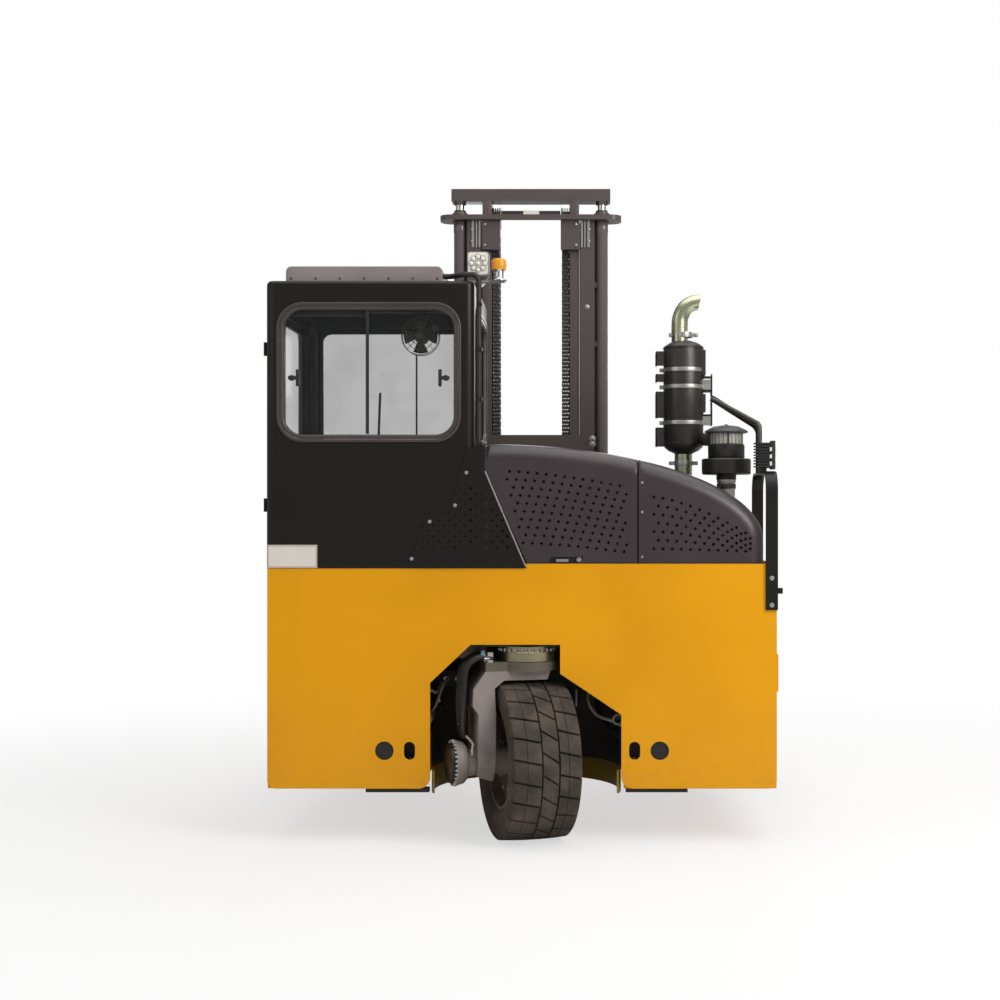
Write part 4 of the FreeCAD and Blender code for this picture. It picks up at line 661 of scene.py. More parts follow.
class SIDELOADER_OT_plain_nodes(bpy.types.Operator):
    """Give the plain plates and blocks their worn edges and finish"""
    bl_idname = "sideloader.plain_nodes"
    bl_label = "Plates and blocks"

    def execute(self, context):
        for node in NODES:
            if not NODES[node].hide_render:
                dress(node)
        return {"FINISHED"}


def tread_columns(radius, wide, bead, groove):
    """Columns across a tyre: place, radius, cut depth and how far its blocks lag, in pitches.

    The crown falls by 6 mm times the square of the place; the blocks' grooves fade out down
    the shoulders, 46 mm below the crown.
    """
    half, tread = wide / 2, wide / 2 * 0.93
    rows = [(-1, -0.205, 0.0, 0.28), (-0.157, 0.307, 0.74, 1.22), (0.362, 1, 1.75, 1.99)]
    columns = []
    flank = [(0.84, bead, 0), (0.90, bead + 0.012, 0), (0.965, bead + 0.035, 0),
             (0.985, bead + 0.047, 0), (0.985, bead + 0.053, 0), (0.995, bead + 0.065, 0),
             (1.0, bead + 0.085, 0), (0.998, radius - 0.046, 0), (0.992, radius - 0.035, 0.35),
             (0.980, radius - 0.022, 0.7), (0.958, radius - 0.0115, 0.9)]
    for share, height, cut in flank:
        columns.append((-half * share, height, groove * cut, 0.0))
    for number, (left, right, lag, lag_end) in enumerate(rows):
        places = [left, left * 0.37 + right * 0.63, right] if number == 1 else [left, right]
        sipe = -0.63 if number == 0 else 0.63
        if number != 1:
            places = [left, sipe - 0.010, sipe - 0.006, sipe + 0.006, sipe + 0.010, right]
        for spot, a in enumerate(places):
            slope = (a - left) / (right - left)
            crown = radius - 0.006 * a * a - (0.003 if number != 1 and spot in (2, 3) else 0)
            columns.append((a * tread, crown, groove, lag + (lag_end - lag) * slope))
        if number < 2:
            gap = rows[number + 1][0]
            for a, lagging in ((right + 0.012, lag_end), (gap - 0.012, rows[number + 1][2])):
                columns.append((a * tread, radius - 0.006 * a * a - groove, 0.0, lagging))
    for share, height, cut in reversed(flank):
        columns.append((half * share, height, groove * cut, rows[2][3]))
    return np.array(columns)


def tyre_form(radius, wide, bead, pitches, groove, middle):
    """A tyre about the X axis through the origin, as one closed surface.

    Row t of the grid is the angle (k + s + lag) / pitches of a turn, where s steps through a
    block's top and its groove; a point is (x, r cos, r sin) with r less by the groove's
    depth where s lies in the groove.
    """
    step = np.array([0.0, 0.3, 0.6, 0.885, 0.905, 0.98])
    sunk = np.array([0, 0, 0, 0, 1, 1])
    columns = tread_columns(radius, wide, bead, groove)
    s = (np.arange(pitches)[:, None] + step[None, :]).ravel()
    cut = np.tile(sunk, pitches)
    angle = (s[:, None] + columns[None, :, 3]) / pitches * 2 * np.pi
    reach = columns[None, :, 1] - cut[:, None] * columns[None, :, 2]
    x = np.broadcast_to(columns[None, :, 0] + middle, angle.shape)
    points = np.stack([x, reach * np.cos(angle), reach * np.sin(angle)], -1)
    form = Form().grid(points, round_u=True, flip=True)
    edge = angle[:, [-1, 0]]
    inner = np.stack([x[:, [-1, 0]], (bead - 0.004) * np.cos(edge),
                      (bead - 0.004) * np.sin(edge)], -1)
    closing = np.concatenate([points[:, -1:], inner, points[:, :1]], 1)
    return form.grid(closing, round_u=True, flip=True)


def along_axle(node):
    """How far a node of the rear wheel reaches along the wheel's axis, from its centre."""
    mesh = NODES[node].data
    points = np.empty(len(mesh.vertices) * 3)
    mesh.vertices.foreach_get("co", points)
    joint = JOINTS["rear_spin"]
    along = (points.reshape(-1, 3) - joint["pos_m"]) @ np.array(joint["axis"])
    return along.min(), along.max()


def turned_about(form, angle, centre):
    """Turn a form about the upright axis, then set it down at a centre."""
    c, s = math.cos(angle), math.sin(angle)
    turn = np.array([[c, -s, 0], [s, c, 0], [0, 0, 1]])
    return form.moved(lambda p: p @ turn.T + np.asarray(centre, float))


class SIDELOADER_OT_tyres(bpy.types.Operator):
    """Cut the tread of all three tyres"""
    bl_idname = "sideloader.tyres"
    bl_label = "Tyres"

    def execute(self, context):
        sizes = context.scene.tyre_sizes
        axis = JOINTS["rear_spin"]["axis"]
        heading = math.atan2(axis[1], axis[0])
        centre = JOINTS["rear_spin"]["pos_m"]
        radius = span("rear_tyre", "z")[1] / 2
        bead = (span("rear_rim", "z")[1] - span("rear_rim", "z")[0]) / 2
        left, right = along_axle("rear_tyre")
        rear = tyre_form(radius, right - left, bead, sizes.pitches, sizes.groove_depth,
                         (left + right) / 2)
        form_piece("rear_tread", turned_about(rear, heading, centre), "tyre_rubber", "rear_wheel",
                   replaces=("rear_tyre",))
        nuts = Form().copies(bolt(0.013, 0.02, "x", -1), around(0.13, 10, "x", -0.078))
        form_piece("rear_wheel_nuts", turned_about(nuts, heading, centre), "bright_steel",
                   "rear_wheel")
        for word in ("left", "right"):
            centre = JOINTS["front_%s_spin" % word]["pos_m"]
            radius = span("front_tyre_" + word, "z")[1] / 2
            low, high = span("front_rim_" + word, "z")
            wide = np.diff(span("front_tyre_" + word, "x"))[0]
            front = tyre_form(radius, wide, (high - low) / 2, sizes.pitches - 4,
                              sizes.groove_depth * 0.9, 0.0)
            form_piece("front_tread_" + word, turned_about(front, 0, centre), "tyre_rubber",
                       "front_%s_wheel" % word, replaces=("front_tyre_" + word,))
        return {"FINISHED"}


def steering_frame():
    """Heading of the rear wheel's axis and the place of its steering axis on the floor."""
    joint = JOINTS["rear_spin"]
    return (math.atan2(joint["axis"][1], joint["axis"][0]),
            (joint["pos_m"][0], joint["pos_m"][1], 0.0))


class SIDELOADER_OT_rear_gear(bpy.types.Operator):
    """Fit the rear wheel's fork, drive motor, slewing ring and hoses"""
    bl_idname = "sideloader.rear_gear"
    bl_label = "Rear wheel gear"

    def execute(self, context):
        self.heading, self.centre = steering_frame()
        cut = 0.758                     # the fork ends here, inside the slewing ring
        fork = dress("rear_fork", bevel=0.013, segments=4, angle=28)
        work = bmesh.new()
        work.from_mesh(fork.data)
        bmesh.ops.bisect_plane(work, geom=work.verts[:] + work.edges[:] + work.faces[:],
                               plane_co=(0, 0, cut), plane_no=(0, 0, 1))
        work.to_mesh(fork.data)
        work.free()
        fork.data.materials.append(Finish.made["turntable_paint"])
        height = np.empty(len(fork.data.polygons) * 3)
        fork.data.polygons.foreach_get("center", height)
        fork.data.polygons.foreach_set(
            "material_index", (height.reshape(-1, 3)[:, 2] > cut - 0.0005).astype(int))
        self.motor()
        self.ring()
        self.hoses()
        return {"FINISHED"}

    def put(self, name, form, finish, **options):
        """Turn a form from the wheel's own axes to its parked heading."""
        return form_piece(name, turned_about(form, self.heading, self.centre), finish,
                          "rear_steering", **options)

    def motor(self):
        """A domed hub on the leg, a ring of bolts round its flange and the motor's housing."""
        high = JOINTS["rear_spin"]["pos_m"][2]
        near = along_axle("rear_drive_motor")[1] / MM - 31
        hub = np.array([(0, -60), (100, -60), (103, -57), (103, -50), (99, -47), (97, -36),
                        (92, -18), (80, -6), (60, 0), (60, 31), (0, 31)]) + (0, near)
        body = np.array([(0, -92), (44, -92), (52, -88), (76, -86), (84, -80), (84, -66),
                         (88, -60), (0, -60)]) + (0, near)
        at_hub = (0, 0, high)
        self.put("drive_hub", Form().lathe(hub * MM, at_hub, "x", 48), "casting_grey",
                 replaces=("rear_drive_motor",))
        ribbed = Form().lathe(body * MM, at_hub, "x", 40)
        for place in range(2):
            ribbed.ring(np.array([(82, -72 - place * 7), (88, -72 - place * 7),
                                  (88, -69 - place * 7), (82, -69 - place * 7)]) * MM
                        + (0, near * MM), at_hub, "x", 40)
        self.put("drive_housing", ribbed, "motor_black")
        places = around(0.097, 30, "x", (near - 60) * MM) + at_hub
        self.put("drive_bolts", Form().copies(bolt(0.0045, 0.009, "x", -1), places),
                 "bright_steel")

    def ring(self):
        """The slewing ring: a band, a step and a circle of bolts standing on it."""
        low, top = (value / MM for value in span("slewing_ring", "z"))
        radius = (span("slewing_ring", "x")[1] - span("slewing_ring", "x")[0]) / 2 / MM
        x, y = self.centre[:2]
        profile = [(0, low), (radius - 3, low), (radius, low + 3), (radius, low + 42),
                   (radius - 3, low + 45), (radius - 12, low + 46), (radius - 12, top), (0, top)]
        step = Form().lathe(np.array(profile) * MM, (x, y, 0), "z", 96)
        places = around((radius - 6) * MM, 26, "z", (low + 46) * MM) + (x, y, 0)
        heads = Form().copies(bolt(0.0052, 0.013, "z", 1), places)
        form_piece("slewing_band", step, "ring_steel", BODY_OF["slewing_ring"],
                   replaces=("slewing_ring",), angle=25)
        form_piece("slewing_bolts", heads, "bright_steel", BODY_OF["slewing_ring"])

    def hoses(self):
        """Hoses that turn with the fork: a thick bundle and a thin line to the hub."""
        bundle = Form()
        for number in range(5):
            y = 42 - number * 27
            x = 6 * abs(number - 2)
            rows = np.array([(-172, y, 816), (-230, y, 820), (-276 - x, y - 2, 778),
                             (-288 - x, y - 6, 690), (-292 - x, y - 4, 600),
                             (-300, y * 0.7, 510), (-292, y * 0.5 + 6, 470)]) * MM
            bundle.sweep(smooth_path(rows, 8), circle(0.0135, 12), (0, 1, 0))
        self.put("hose_bundle", bundle, "hose_black")
        line = np.array([(-300, 55, 640), (-300, 40, 560), (-308, 8, 528), (-290, -32, 482),
                         (-263, -66, 446), (-266, -80, 424)]) * MM
        self.put("thin_hose", Form().sweep(smooth_path(line, 8), circle(0.0052, 10), (0, 1, 0)),
                 "pale_hose")
        fittings = Form().box((-0.196, -0.172), (-0.076, -0.050), (0.798, 0.842))
        fittings.lathe(np.array([(0, 0), (7, 0), (7, 16), (10, 16), (10, 26), (6, 28),
                                 (6, 40), (0, 40)]) * MM, (-0.266, -0.078, 0.396), "z", 8)
        for y in (-66, -39, -12, 15, 42):
            fittings.lathe(np.array([(0, 0), (15, 0), (15, 24), (0, 24)]) * MM,
                           (-0.212, y * MM, 0.816), "x", 6)
        self.put("hose_fittings", fittings, "bright_steel", bevel=0.0008)
        # A fitting coloured light blue: the painted highlight of a black fitting's top.
        highlit_cap = Form().lathe(np.array([(0, 0), (12, 0), (12, 18), (8, 20), (8, 30), (0, 30)]) * MM,
                            (-0.216, -0.066, 0.820), "z", 8)
        self.put("hose_fitting_blue", highlit_cap, "fitting_blue")


def pierced(node, cutter, **options):
    """A merged copy of a CAD node with another form cut out of it."""
    shell = bpy.data.objects.new("shell", merged(node))
    tool = bpy.data.objects.new("tool", cutter.mesh("tool"))
    for thing in (shell, tool):
        bpy.context.scene.collection.objects.link(thing)
    hole = shell.modifiers.new("holes", "BOOLEAN")
    hole.operation, hole.solver, hole.object = "DIFFERENCE", "EXACT", tool
    bpy.context.view_layer.update()
    state = shell.evaluated_get(bpy.context.evaluated_depsgraph_get())
    mesh = bpy.data.meshes.new_from_object(state)
    for thing in (shell, tool):
        bpy.data.objects.remove(thing)
    return add_piece(node + "_pierced", mesh, BODY_OF[node], SLOT_OF[node],
                     replaces=(node,), **options)


def plus_holes(places, size, arm, y):
    """Upright prisms with a plus-shaped outline at places (n, 2) of X and Z in metres."""
    a, b = arm / 2, size / 2
    corner = np.array([(b, -a), (b, a), (a, a), (a, b), (-a, b), (-a, a),
                       (-b, a), (-b, -a), (-a, -a), (-a, -b), (a, -b), (a, -a)])
    plus = Form().prism(corner, "zx", *y)
    places = np.asarray(places)
    return Form().copies(plus, np.stack([places[:, 0], places[:, 0] * 0, places[:, 1]], 1))


def staggered(sizes, left, right, drop):
    """Rows of places between two slanting sides; each row falls to the right.

    left holds the low and the high end of the left side, (X, Z) in millimetres, and drop how
    far a row has fallen at the right side, low and high.  With u from 0 to 1 along a row,
    z = left z - drop * u ** 1.5.
    """
    rows = int((left[1][1] - left[0][1]) * MM / sizes.row) + 1
    share = np.repeat(np.linspace(0, 1, rows), 40)
    column = np.tile(np.arange(40), rows)
    start = left[0][0] + (left[1][0] - left[0][0]) * share
    x = start + (column + np.round(share * (rows - 1)) % 2 * 0.5) * sizes.pitch / MM
    u = (x - start) / (right - start)
    z = left[0][1] + (left[1][1] - left[0][1]) * share \
        - (drop[0] + (drop[1] - drop[0]) * share) * np.abs(u) ** 1.5
    return np.stack([x, z], 1)[u <= 1] * MM


class SIDELOADER_OT_hood(bpy.types.Operator):
    """Pierce the hood and the side cover, and fit their latch, pins and screws"""
    bl_idname = "sideloader.hood"
    bl_label = "Hood"

    def execute(self, context):
        sizes = context.scene.hood_sizes
        skin = (REAR - 0.012, REAR + 0.03)
        lid = staggered(sizes, ((5, 1324), (-75, 1640)), 466, (42, 71))
        latch = Form().prism(np.array([(1222, 115), (1262, 129), (1262, 269), (1222, 255)]) * MM,
                             "zx", *skin)
        holes = plus_holes(lid, sizes.hole, 0.0055, skin)
        pierced("hood_left", holes.copies(latch, [(0, 0, 0)]), angle=40)
        fixed = staggered(sizes, ((582, 1298), (582, 1526)), 1010, (12, 172))
        pierced("hood_right", plus_holes(fixed, sizes.hole, 0.0055, skin), angle=40)
        x, z = np.meshgrid(-435 + 46.4 * np.arange(12), 1305 + 23.6 * np.arange(12))
        x = x + np.arange(12)[:, None] % 2 * 23.2
        keep = (x < -34 - (z - 1305) * 0.41) & (x > np.where(z > 1440, -300, -470))
        pierced("hood_side_cover",
                plus_holes(np.stack([x[keep], z[keep]], 1) * MM, 0.011, 0.0042, skin), angle=40)
        self.fittings()
        return {"FINISHED"}

    def fittings(self):
        """The latch in its well, whose dark block is painted shade, screws, pins, the hood's seal, and a pale rod
        on the cover's edge that is partly a painted highlight.
        """
        # A dark block behind the latch's cut-out: painted shade in its well.
        dark = block(Form(), (108, 276), (13, 17), (1234, 1270))
        block(dark, (108, 276), (14, 60), (1234, 1238))
        form_piece("latch_well", dark, "well_black", "hood_lid")
        latch = bolts(Form(), [(252, 12, 1249)], 9, 10)
        block(latch, (150, 205), (6, 12), (1240, 1252))
        form_piece("hood_latch", latch, "bright_steel", "hood_lid", bevel=0.001)
        screws = bolts(Form(), [(-245, -6, 1634), (-295, -6, 1490), (-407, -6, 1418),
                                (-487, -6, 1254)], 6, 4)
        form_piece("cover_screws", screws, "bright_steel")
        pins = bolts(Form(), [(530, 0, 1262), (530, 0, 1460), (530, 0, 1590)], 4, 3)
        form_piece("hood_pins", pins, "bright_steel")
        # A pale rod on the cover's diagonal edge: the real edge, its pale colour partly a painted highlight.
        edge = Form()
        line = spots([(18, -5, 1216), (-50, -5, 1374), (-110, -5, 1514), (-163, -5, 1640)])
        edge.sweep(line, circle(0.0035, 8), (0, 1, 0))
        form_piece("cover_edge", edge, "roof_grey")
        seal = block(Form(), (-150, 1068), (-1.5, 6), (1233, 1237))
        form_piece("hood_seal", seal, "seal_rubber")


class SIDELOADER_OT_rear_panel(bpy.types.Operator):
    """Paint shade into the wheel's arch and fit what stands in and behind the rear panel"""
    bl_idname = "sideloader.rear_panel"
    bl_label = "Rear panel"

    def execute(self, context):
        dress("chassis_rear_panel", bevel=0.0025)
        # The well's walls take near-black: painted shade inside the arch, with some grime.
        dress("chassis_wheel_well", bevel=0.002, finish="well_black")
        # The skirt takes the olive yellow, which is painted shade of the body yellow.
        dress("chassis_wheel_skirt", bevel=0.0015, finish="skirt_paint")
        # Dark cups behind the tow holes, plates behind the slots, floor strips and boxes in the arch: painted
        # shade.
        dark, pins = Form(), Form()
        for side in (-1, 1):
            turning(dark, [(41, 8), (46, 8), (46, 96), (0, 96), (0, 92), (41, 92)],
                    (side * 608, 0, 406), "y", 40)
            block(dark, (side * 497 - 40, side * 497 + 40), (60, 64), (350, 462))
            turning(pins, [(0, 366), (9, 366), (11, 372), (11, 440), (0, 440)],
                    (side * 608, 36, 0), "z", 16)
            turning(pins, [(0, 340), (7, 344), (7, 372), (0, 372)], (side * 497, 40, 0), "z", 12)
        for x in ((-692, -412), (458, 732)):
            block(dark, x, (12, 60), (221, 239))
        block(dark, (-390, -285), (330, 420), (658, 728))
        block(dark, (255, 345), (330, 400), (560, 690))
        form_piece("panel_linings", dark, "well_black", bevel=0.002)
        studs = rod(pins, 5, (560, 640), (236, 340, 0), "z", 12)
        bolts(studs, [(-365, 326, 690), (-310, 326, 690)], 9, 10)
        form_piece("tow_pins", studs, "bright_steel")
        self.hoses()
        marker = block(Form(), (1125, 1134), (16, 50), (666, 830))
        form_piece("side_marker", marker, "yellow_paint", bevel=0.003)
        bead = Form().sweep(spots([(-1125, -1, 1213), (0, -1, 1213)]),
                            rounded(0.003, 0.004, 0.001), (0, 1, 0))
        form_piece("sill_seal", bead, "seal_rubber")
        return {"FINISHED"}

    def hoses(self):
        """Thin pale lines and thick black hoses inside the arch."""
        lines = hose(Form(), [(-440, 120, 596), (-418, 150, 560), (-396, 200, 592),
                              (-372, 260, 668), (-352, 330, 700)], 6)
        hose(lines, [(-442, 110, 640), (-420, 150, 655), (-398, 230, 640), (-385, 330, 672)], 7)
        hose(lines, [(300, 330, 660), (290, 260, 600), (330, 200, 540), (400, 140, 520),
                     (446, 110, 500)], 7)
        form_piece("well_lines", lines, "pale_hose")
        thick = hose(Form(), [(270, 330, 620), (262, 250, 700), (300, 200, 780), (380, 150, 830)],
                     13)
        hose(thick, [(-446, 60, 500), (-430, 100, 470), (-420, 180, 500), (-400, 300, 640)], 11)
        hose(thick, [(330, 330, 600), (352, 260, 520), (404, 160, 470), (446, 100, 450)], 12)
        form_piece("well_hoses", thick, "seal_rubber")


class SIDELOADER_OT_cab(bpy.types.Operator):
    """Fit the cab's window rubbers, latches, door gear, fan, wiper and roof details"""
    bl_idname = "sideloader.cab"
    bl_label = "Cab"

    OPENINGS = (("rear", (-676.5, 0, 2077.5), (807, 609), 110, "chassis"),
                ("front", (-667.5, 950, 1855), (791, 1050), 70, "chassis"),
                ("right", (-212, 475, 2077.5), (750, 609), 80, "chassis"),
                ("left", (-1133, 480, 1960), (720, 800), 70, "cab_door_body"))

    def execute(self, context):
        for wall, centre, size, radius, body in self.OPENINGS:
            rubber = rim_round(Form(), wall, centre, size, radius, rounded(13, 7, 3, 3)
                               + (-2, -2.5))
            rim_round(rubber, wall, centre, size, radius,
                      [(-30, 16), (-29, 2), (-22, -4), (-13, -3), (-10, 6), (-10, 16)][::-1])
            form_piece("%s_window_rubber" % wall, rubber, "window_seal", body, angle=60)
            insert = rim_round(Form(), wall, centre, size, radius,
                               circle(1.8, 8) + (-11, -2.6))
            form_piece("%s_window_insert" % wall, insert, "dark_steel", body, angle=60)
        self.rear_wall()
        self.fan()
        self.door()
        self.roof()
        return {"FINISHED"}

    def rear_wall(self):
        """The rear window's divider, latches and inner bars, and the blank plate."""
        bars = block(Form(), (-691, -677), (6, 16), (1806, 2350))
        for x, way in ((-990, -1), (-362, 1)):
            block(bars, (x - 7, x + 7), (-10, 14), (2015, 2089))
            block(bars, (x, x + way * 42), (-8, 4), (2044, 2060))
            turning(bars, [(0, -10), (11, -10), (13, -6), (13, 4), (0, 4)],
                    (x + way * 26, 0, 2052), "y", 20)
        block(bars, (-486, -478), (150, 156), (1810, 2170))
        block(bars, (-1060, -700), (30, 60), (2330, 2376))
        block(bars, (-700, -240), (30, 60), (2346, 2376))
        form_piece("window_bars", bars, "trim_black", bevel=0.002)
        plate = block(Form(), (-1124, -904), (-3, 0.5), (1213.5, 1315))
        form_piece("blank_plate", plate, "plate_white", bevel=0.0012)
        border = rim_round(Form(), "rear", (-1014, -3, 1264), (212, 93), 3,
                           rounded(2.5, 1.2, 0.4, 2))
        form_piece("plate_line", border, "plate_border")

    def fan(self):
        """The fan behind the rear window: its wire cage, blades and arm."""
        cage, centre = Form(), (-460, 100, 2248)
        for reach, depth in ((84, 0), (84, 44), (62, -6), (40, -8), (20, -9)):
            turn = np.linspace(0, 2 * np.pi, 48, endpoint=False)
            path = spots([centre]) + np.stack([reach * np.cos(turn), turn * 0 + depth,
                                               reach * np.sin(turn)], 1) * MM
            cage.sweep(path, circle(0.0016, 6), (0, 1, 0), closed=True)
        for turn in np.arange(16) * np.pi / 8:
            c, z = math.cos(turn), math.sin(turn)
            cage.sweep(spots([centre]) + np.array([(8 * c, -9, 8 * z), (60 * c, -7, 60 * z),
                                                   (84 * c, 0, 84 * z), (86 * c, 44, 86 * z)])
                       * MM, circle(0.0012, 6), (0.1, 0.2, 0.05))
        turning(cage, [(0, -10), (14, -10), (14, -6), (30, 40), (30, 90), (0, 90)], centre,
                "y", 24)
        form_piece("fan_cage", cage, "dark_steel")
        blades = Form()
        for turn in np.arange(4) * np.pi / 2:
            u, v = np.meshgrid(np.linspace(0.15, 1, 8), np.linspace(-0.45, 0.45, 6))
            angle = turn + v
            points = np.stack([76 * u * np.cos(angle), 22 + 16 * v, 76 * u * np.sin(angle)], -1)
            blades.grid(points * MM + spots([centre])[0])
        fan = form_piece("fan_blades", blades, "trim_black")
        wall = fan.modifiers.new("thickness", "SOLIDIFY")
        wall.thickness = 0.002
        arm = hose(Form(), [(-460, 180, 2248), (-452, 200, 2310), (-440, 170, 2400)], 11)
        turning(arm, [(0, -20), (12, -16), (19, -6), (20, 0), (19, 6), (12, 16), (0, 20)],
                (-391, 70, 2282), "y", 24)
        form_piece("fan_arm", arm, "trim_black")

    def door(self):
        """Handle, lock, seal line and a grab rail beside the door."""
        handle = block(Form(), (-1146, -1133), (822, 862), (1440, 1500))
        form_piece("door_lock", handle, "trim_black", "cab_door_body", bevel=0.003)
        grip = hose(Form(), [(-1134, 842, 1505), (-1143, 842, 1520), (-1143, 842, 1600),
                             (-1143, 842, 1640), (-1134, 842, 1655)], 5, up=(1, 0, 0.1))
        form_piece("door_grip", grip, "dark_steel", "cab_door_body")
        lines = rim_round(Form(), "left", (-1133.5, 480, 1842), (834, 1166), 30,
                          rounded(6, 2.4, 1, 2))
        form_piece("door_crease", lines, "seal_rubber", "cab_door_body")
        screws = Form()
        for z in (1491, 2184):
            bolts(screws, [(-1142, 66, z - 14), (-1142, 66, z + 14), (-1142, 86, z)], 4.5, 3, "x")
        form_piece("hinge_screws", screws, "bright_steel", "cab_door_body")

    def roof(self):
        """Screws and ribs of the roof unit, worn edges of the roof box, cab rear and roof, and the wiper in front.
        """
        screws = bolts(Form(), [(x, 59.5, 2500) for x in np.linspace(-1030, -380, 7)], 4, 3)
        bolts(screws, [(x, 64, 2545) for x in (-1020, -390)], 4, 3)
        form_piece("roof_screws", screws, "dark_steel")
        slots = Form()
        for number in range(14):
            x = -980 + number * 40
            block(slots, (x, x + 24), (130, 520), (2553, 2556.5))
        form_piece("roof_ribs", slots, "roof_grey", bevel=0.0012)
        dress("roof_box", bevel=0.0012)
        for node in ("cab_rear", "cab_roof"):
            dress(node, bevel=0.0008)
        wiper = hose(Form(), [(-667, 951, 1338), (-667, 962, 1345), (-700, 962, 1500),
                              (-760, 958, 1800)], 6, up=(0, 1, 0.1))
        wiper.sweep(spots([(-770, 954, 1560), (-752, 954, 2060)]), rounded(0.012, 0.008, 0.003, 3),
                    (0, 1, 0))
        turning(wiper, [(0, 946), (22, 946), (22, 960), (14, 966), (0, 966)], (-667, 0, 1338), "y",
                24)
        form_piece("wiper", wiper, "trim_black")


class SIDELOADER_OT_cab_inside(bpy.types.Operator):
    """Upholster the seat and build the console, the steering wheel and the levers"""
    bl_idname = "sideloader.cab_inside"
    bl_label = "Inside the cab"

    def execute(self, context):
        for name, x, y, z, crown, way in (
                ("seat_cushion", (-915, -430), (206, 676), (1338, 1436), 24, 2),
                ("seat_back", (-908, -437), (116, 206), (1444, 1750), 20, 1)):
            pad = self.pad(name, spots([(x[0], y[0], z[0]), (x[1], y[1], z[1])]), crown, way)
        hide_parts("seat")
        base = block(Form(), (-850, -495), (240, 640), (980, 1290))
        block(base, (-880, -465), (215, 670), (1290, 1337))
        block(base, (-760, -585), (150, 205), (1336, 1440))
        form_piece("seat_base", base, "trim_black", bevel=0.008, segments=3)
        for x in (-945, -418):
            rest = block(Form(), (x - 26, x + 26), (190, 520), (1530, 1566))
            block(rest, (x - 12, x + 12), (190, 225), (1340, 1532))
            form_piece("arm_rest_%d" % abs(x), rest, "trim_black", bevel=0.012, segments=3)
        self.console()
        return {"FINISHED"}

    def pad(self, name, corners, crown, way):
        """A crowned pad with three sewn channels.

        With u and v from -1 to 1 along X and along the pad, both faces fall to the middle
        plane by sqrt(1 - max(|u|, |v|) ** 8), the top rises by crown * (1 - u * u) *
        (1 - v * v), and each channel sinks it by 11 mm * exp(-(d / 8 mm) ** 2).
        """
        low, high = corners
        middle, half = (low + high) / 2, (high - low) / 2
        axes = [0, 1, 2] if way == 2 else [0, 2, 1]
        count = 44
        u, v = np.meshgrid(np.linspace(-1, 1, count), np.linspace(-1, 1, count), indexing="ij")
        edge = np.maximum(np.abs(u), np.abs(v)) ** 8
        sheets = []
        for face in (1, -1):
            rise = np.sqrt(np.clip(1 - edge, 0, 1)) * (0.78 if face > 0 else 0.92)
            depth = crown * MM * (1 - u * u) * (1 - v * v) * (1 if face > 0 else 0.1)
            for seam in (-0.42, 0.0, 0.42):
                distance = (v - seam) * half[axes[1]]
                depth = depth - (0.011 * np.exp(-(distance / 0.008) ** 2) * (1 - edge)
                                 if face > 0 else 0)
            pinch = 1 - 0.035 * (1 - np.abs(rise)) * np.abs(u * v)
            points = np.zeros(u.shape + (3,))
            points[..., axes[0]] = middle[axes[0]] + u * half[axes[0]] * pinch
            points[..., axes[1]] = middle[axes[1]] + v * half[axes[1]] * pinch
            thick = half[axes[2]] * rise + np.minimum(depth, half[axes[2]] * 0.22)
            points[..., axes[2]] = middle[axes[2]] + face * thick
            sheets.append(points)
        upright = way != 2
        form = Form().grid(sheets[0], flip=upright).grid(sheets[1], flip=not upright)
        mesh = form.mesh(name)
        work = bmesh.new()
        work.from_mesh(mesh)
        bmesh.ops.remove_doubles(work, verts=work.verts, dist=2e-4)
        bmesh.ops.recalc_face_normals(work, faces=work.faces)
        work.to_mesh(mesh)
        work.free()
        pad = add_piece(name, mesh, "chassis", "seat_cover", angle=80)
        smooth = pad.modifiers.new("smooth", "SUBSURF")
        smooth.levels = smooth.render_levels = 1
        return pad

    def console(self):
        """The console's case, its display and the pedals under it."""
        column = block(Form(), (-957, -388), (775, 900), (982, 1345))
        top = np.array([(770, 1345), (905, 1345), (905, 1398), (882, 1400), (770, 1372)]) * MM
        column.prism(top + (REAR, 0), "yz", -0.962, -0.383)
        form_piece("console_case", column, "trim_black", bevel=0.006, segments=3,
                   replaces=("steering_console",))
        self.steering_wheel()
        self.levers()
        screen = block(Form(), (-930, -810), (846, 866), (1398, 1490))
        form_piece("display_case", screen, "trim_black", bevel=0.005)
        form_piece("display_face", block(Form(), (-922, -818), (844.5, 846.5), (1408, 1482)),
                   "screen_dark")
        pedals = Form()
        for x in (-760, -585):
            pedals.prism(np.array([(690, 985), (694, 983), (764, 1068), (760, 1071)]) * MM
                         + (REAR, 0), "yz", (x - 32) * MM, (x + 32) * MM)
        form_piece("pedals", pedals, "dark_steel", bevel=0.001)

    def steering_wheel(self):
        """The wheel with its three spokes, hub and spinner knob, on its column."""
        wheel = Form()
        centre = spots([(-672.5, 740, 1551)])[0]
        wheel.sweep(centre + around(0.138, 64, "z"), rounded(0.022, 0.019, 0.009, 4),
                    (0, 0, 1), closed=True)
        for angle in (0.5, 2.6, 4.71):
            way = np.array([math.cos(angle), math.sin(angle), 0])
            wheel.sweep(centre + np.array([0.02, 0.08, 0.134])[:, None] * way
                        + np.array([(0, 0, -0.010), (0, 0, -0.006), (0, 0, 0)]),
                        rounded(0.020, 0.007, 0.003, 3), (0, 0, 1))
        wheel.lathe(np.array([(0, -22), (30, -22), (34, -16), (34, 4), (24, 11), (0, 11)]) * MM,
                    centre, "z", 32)
        wheel.lathe(np.array([(0, 8), (9, 8), (9, 14), (16, 24), (16, 40), (10, 48),
                              (0, 50)]) * MM, centre + (-0.11, -0.08, 0), "z", 20)
        form_piece("steering_wheel", wheel, "trim_black")
        stem = turning(Form(), [(0, 1360), (42, 1360), (36, 1390), (26, 1400), (22, 1530),
                                (0, 1530)], (-672.5, 748, 0), "z", 28)
        form_piece("steering_column", stem, "trim_black")

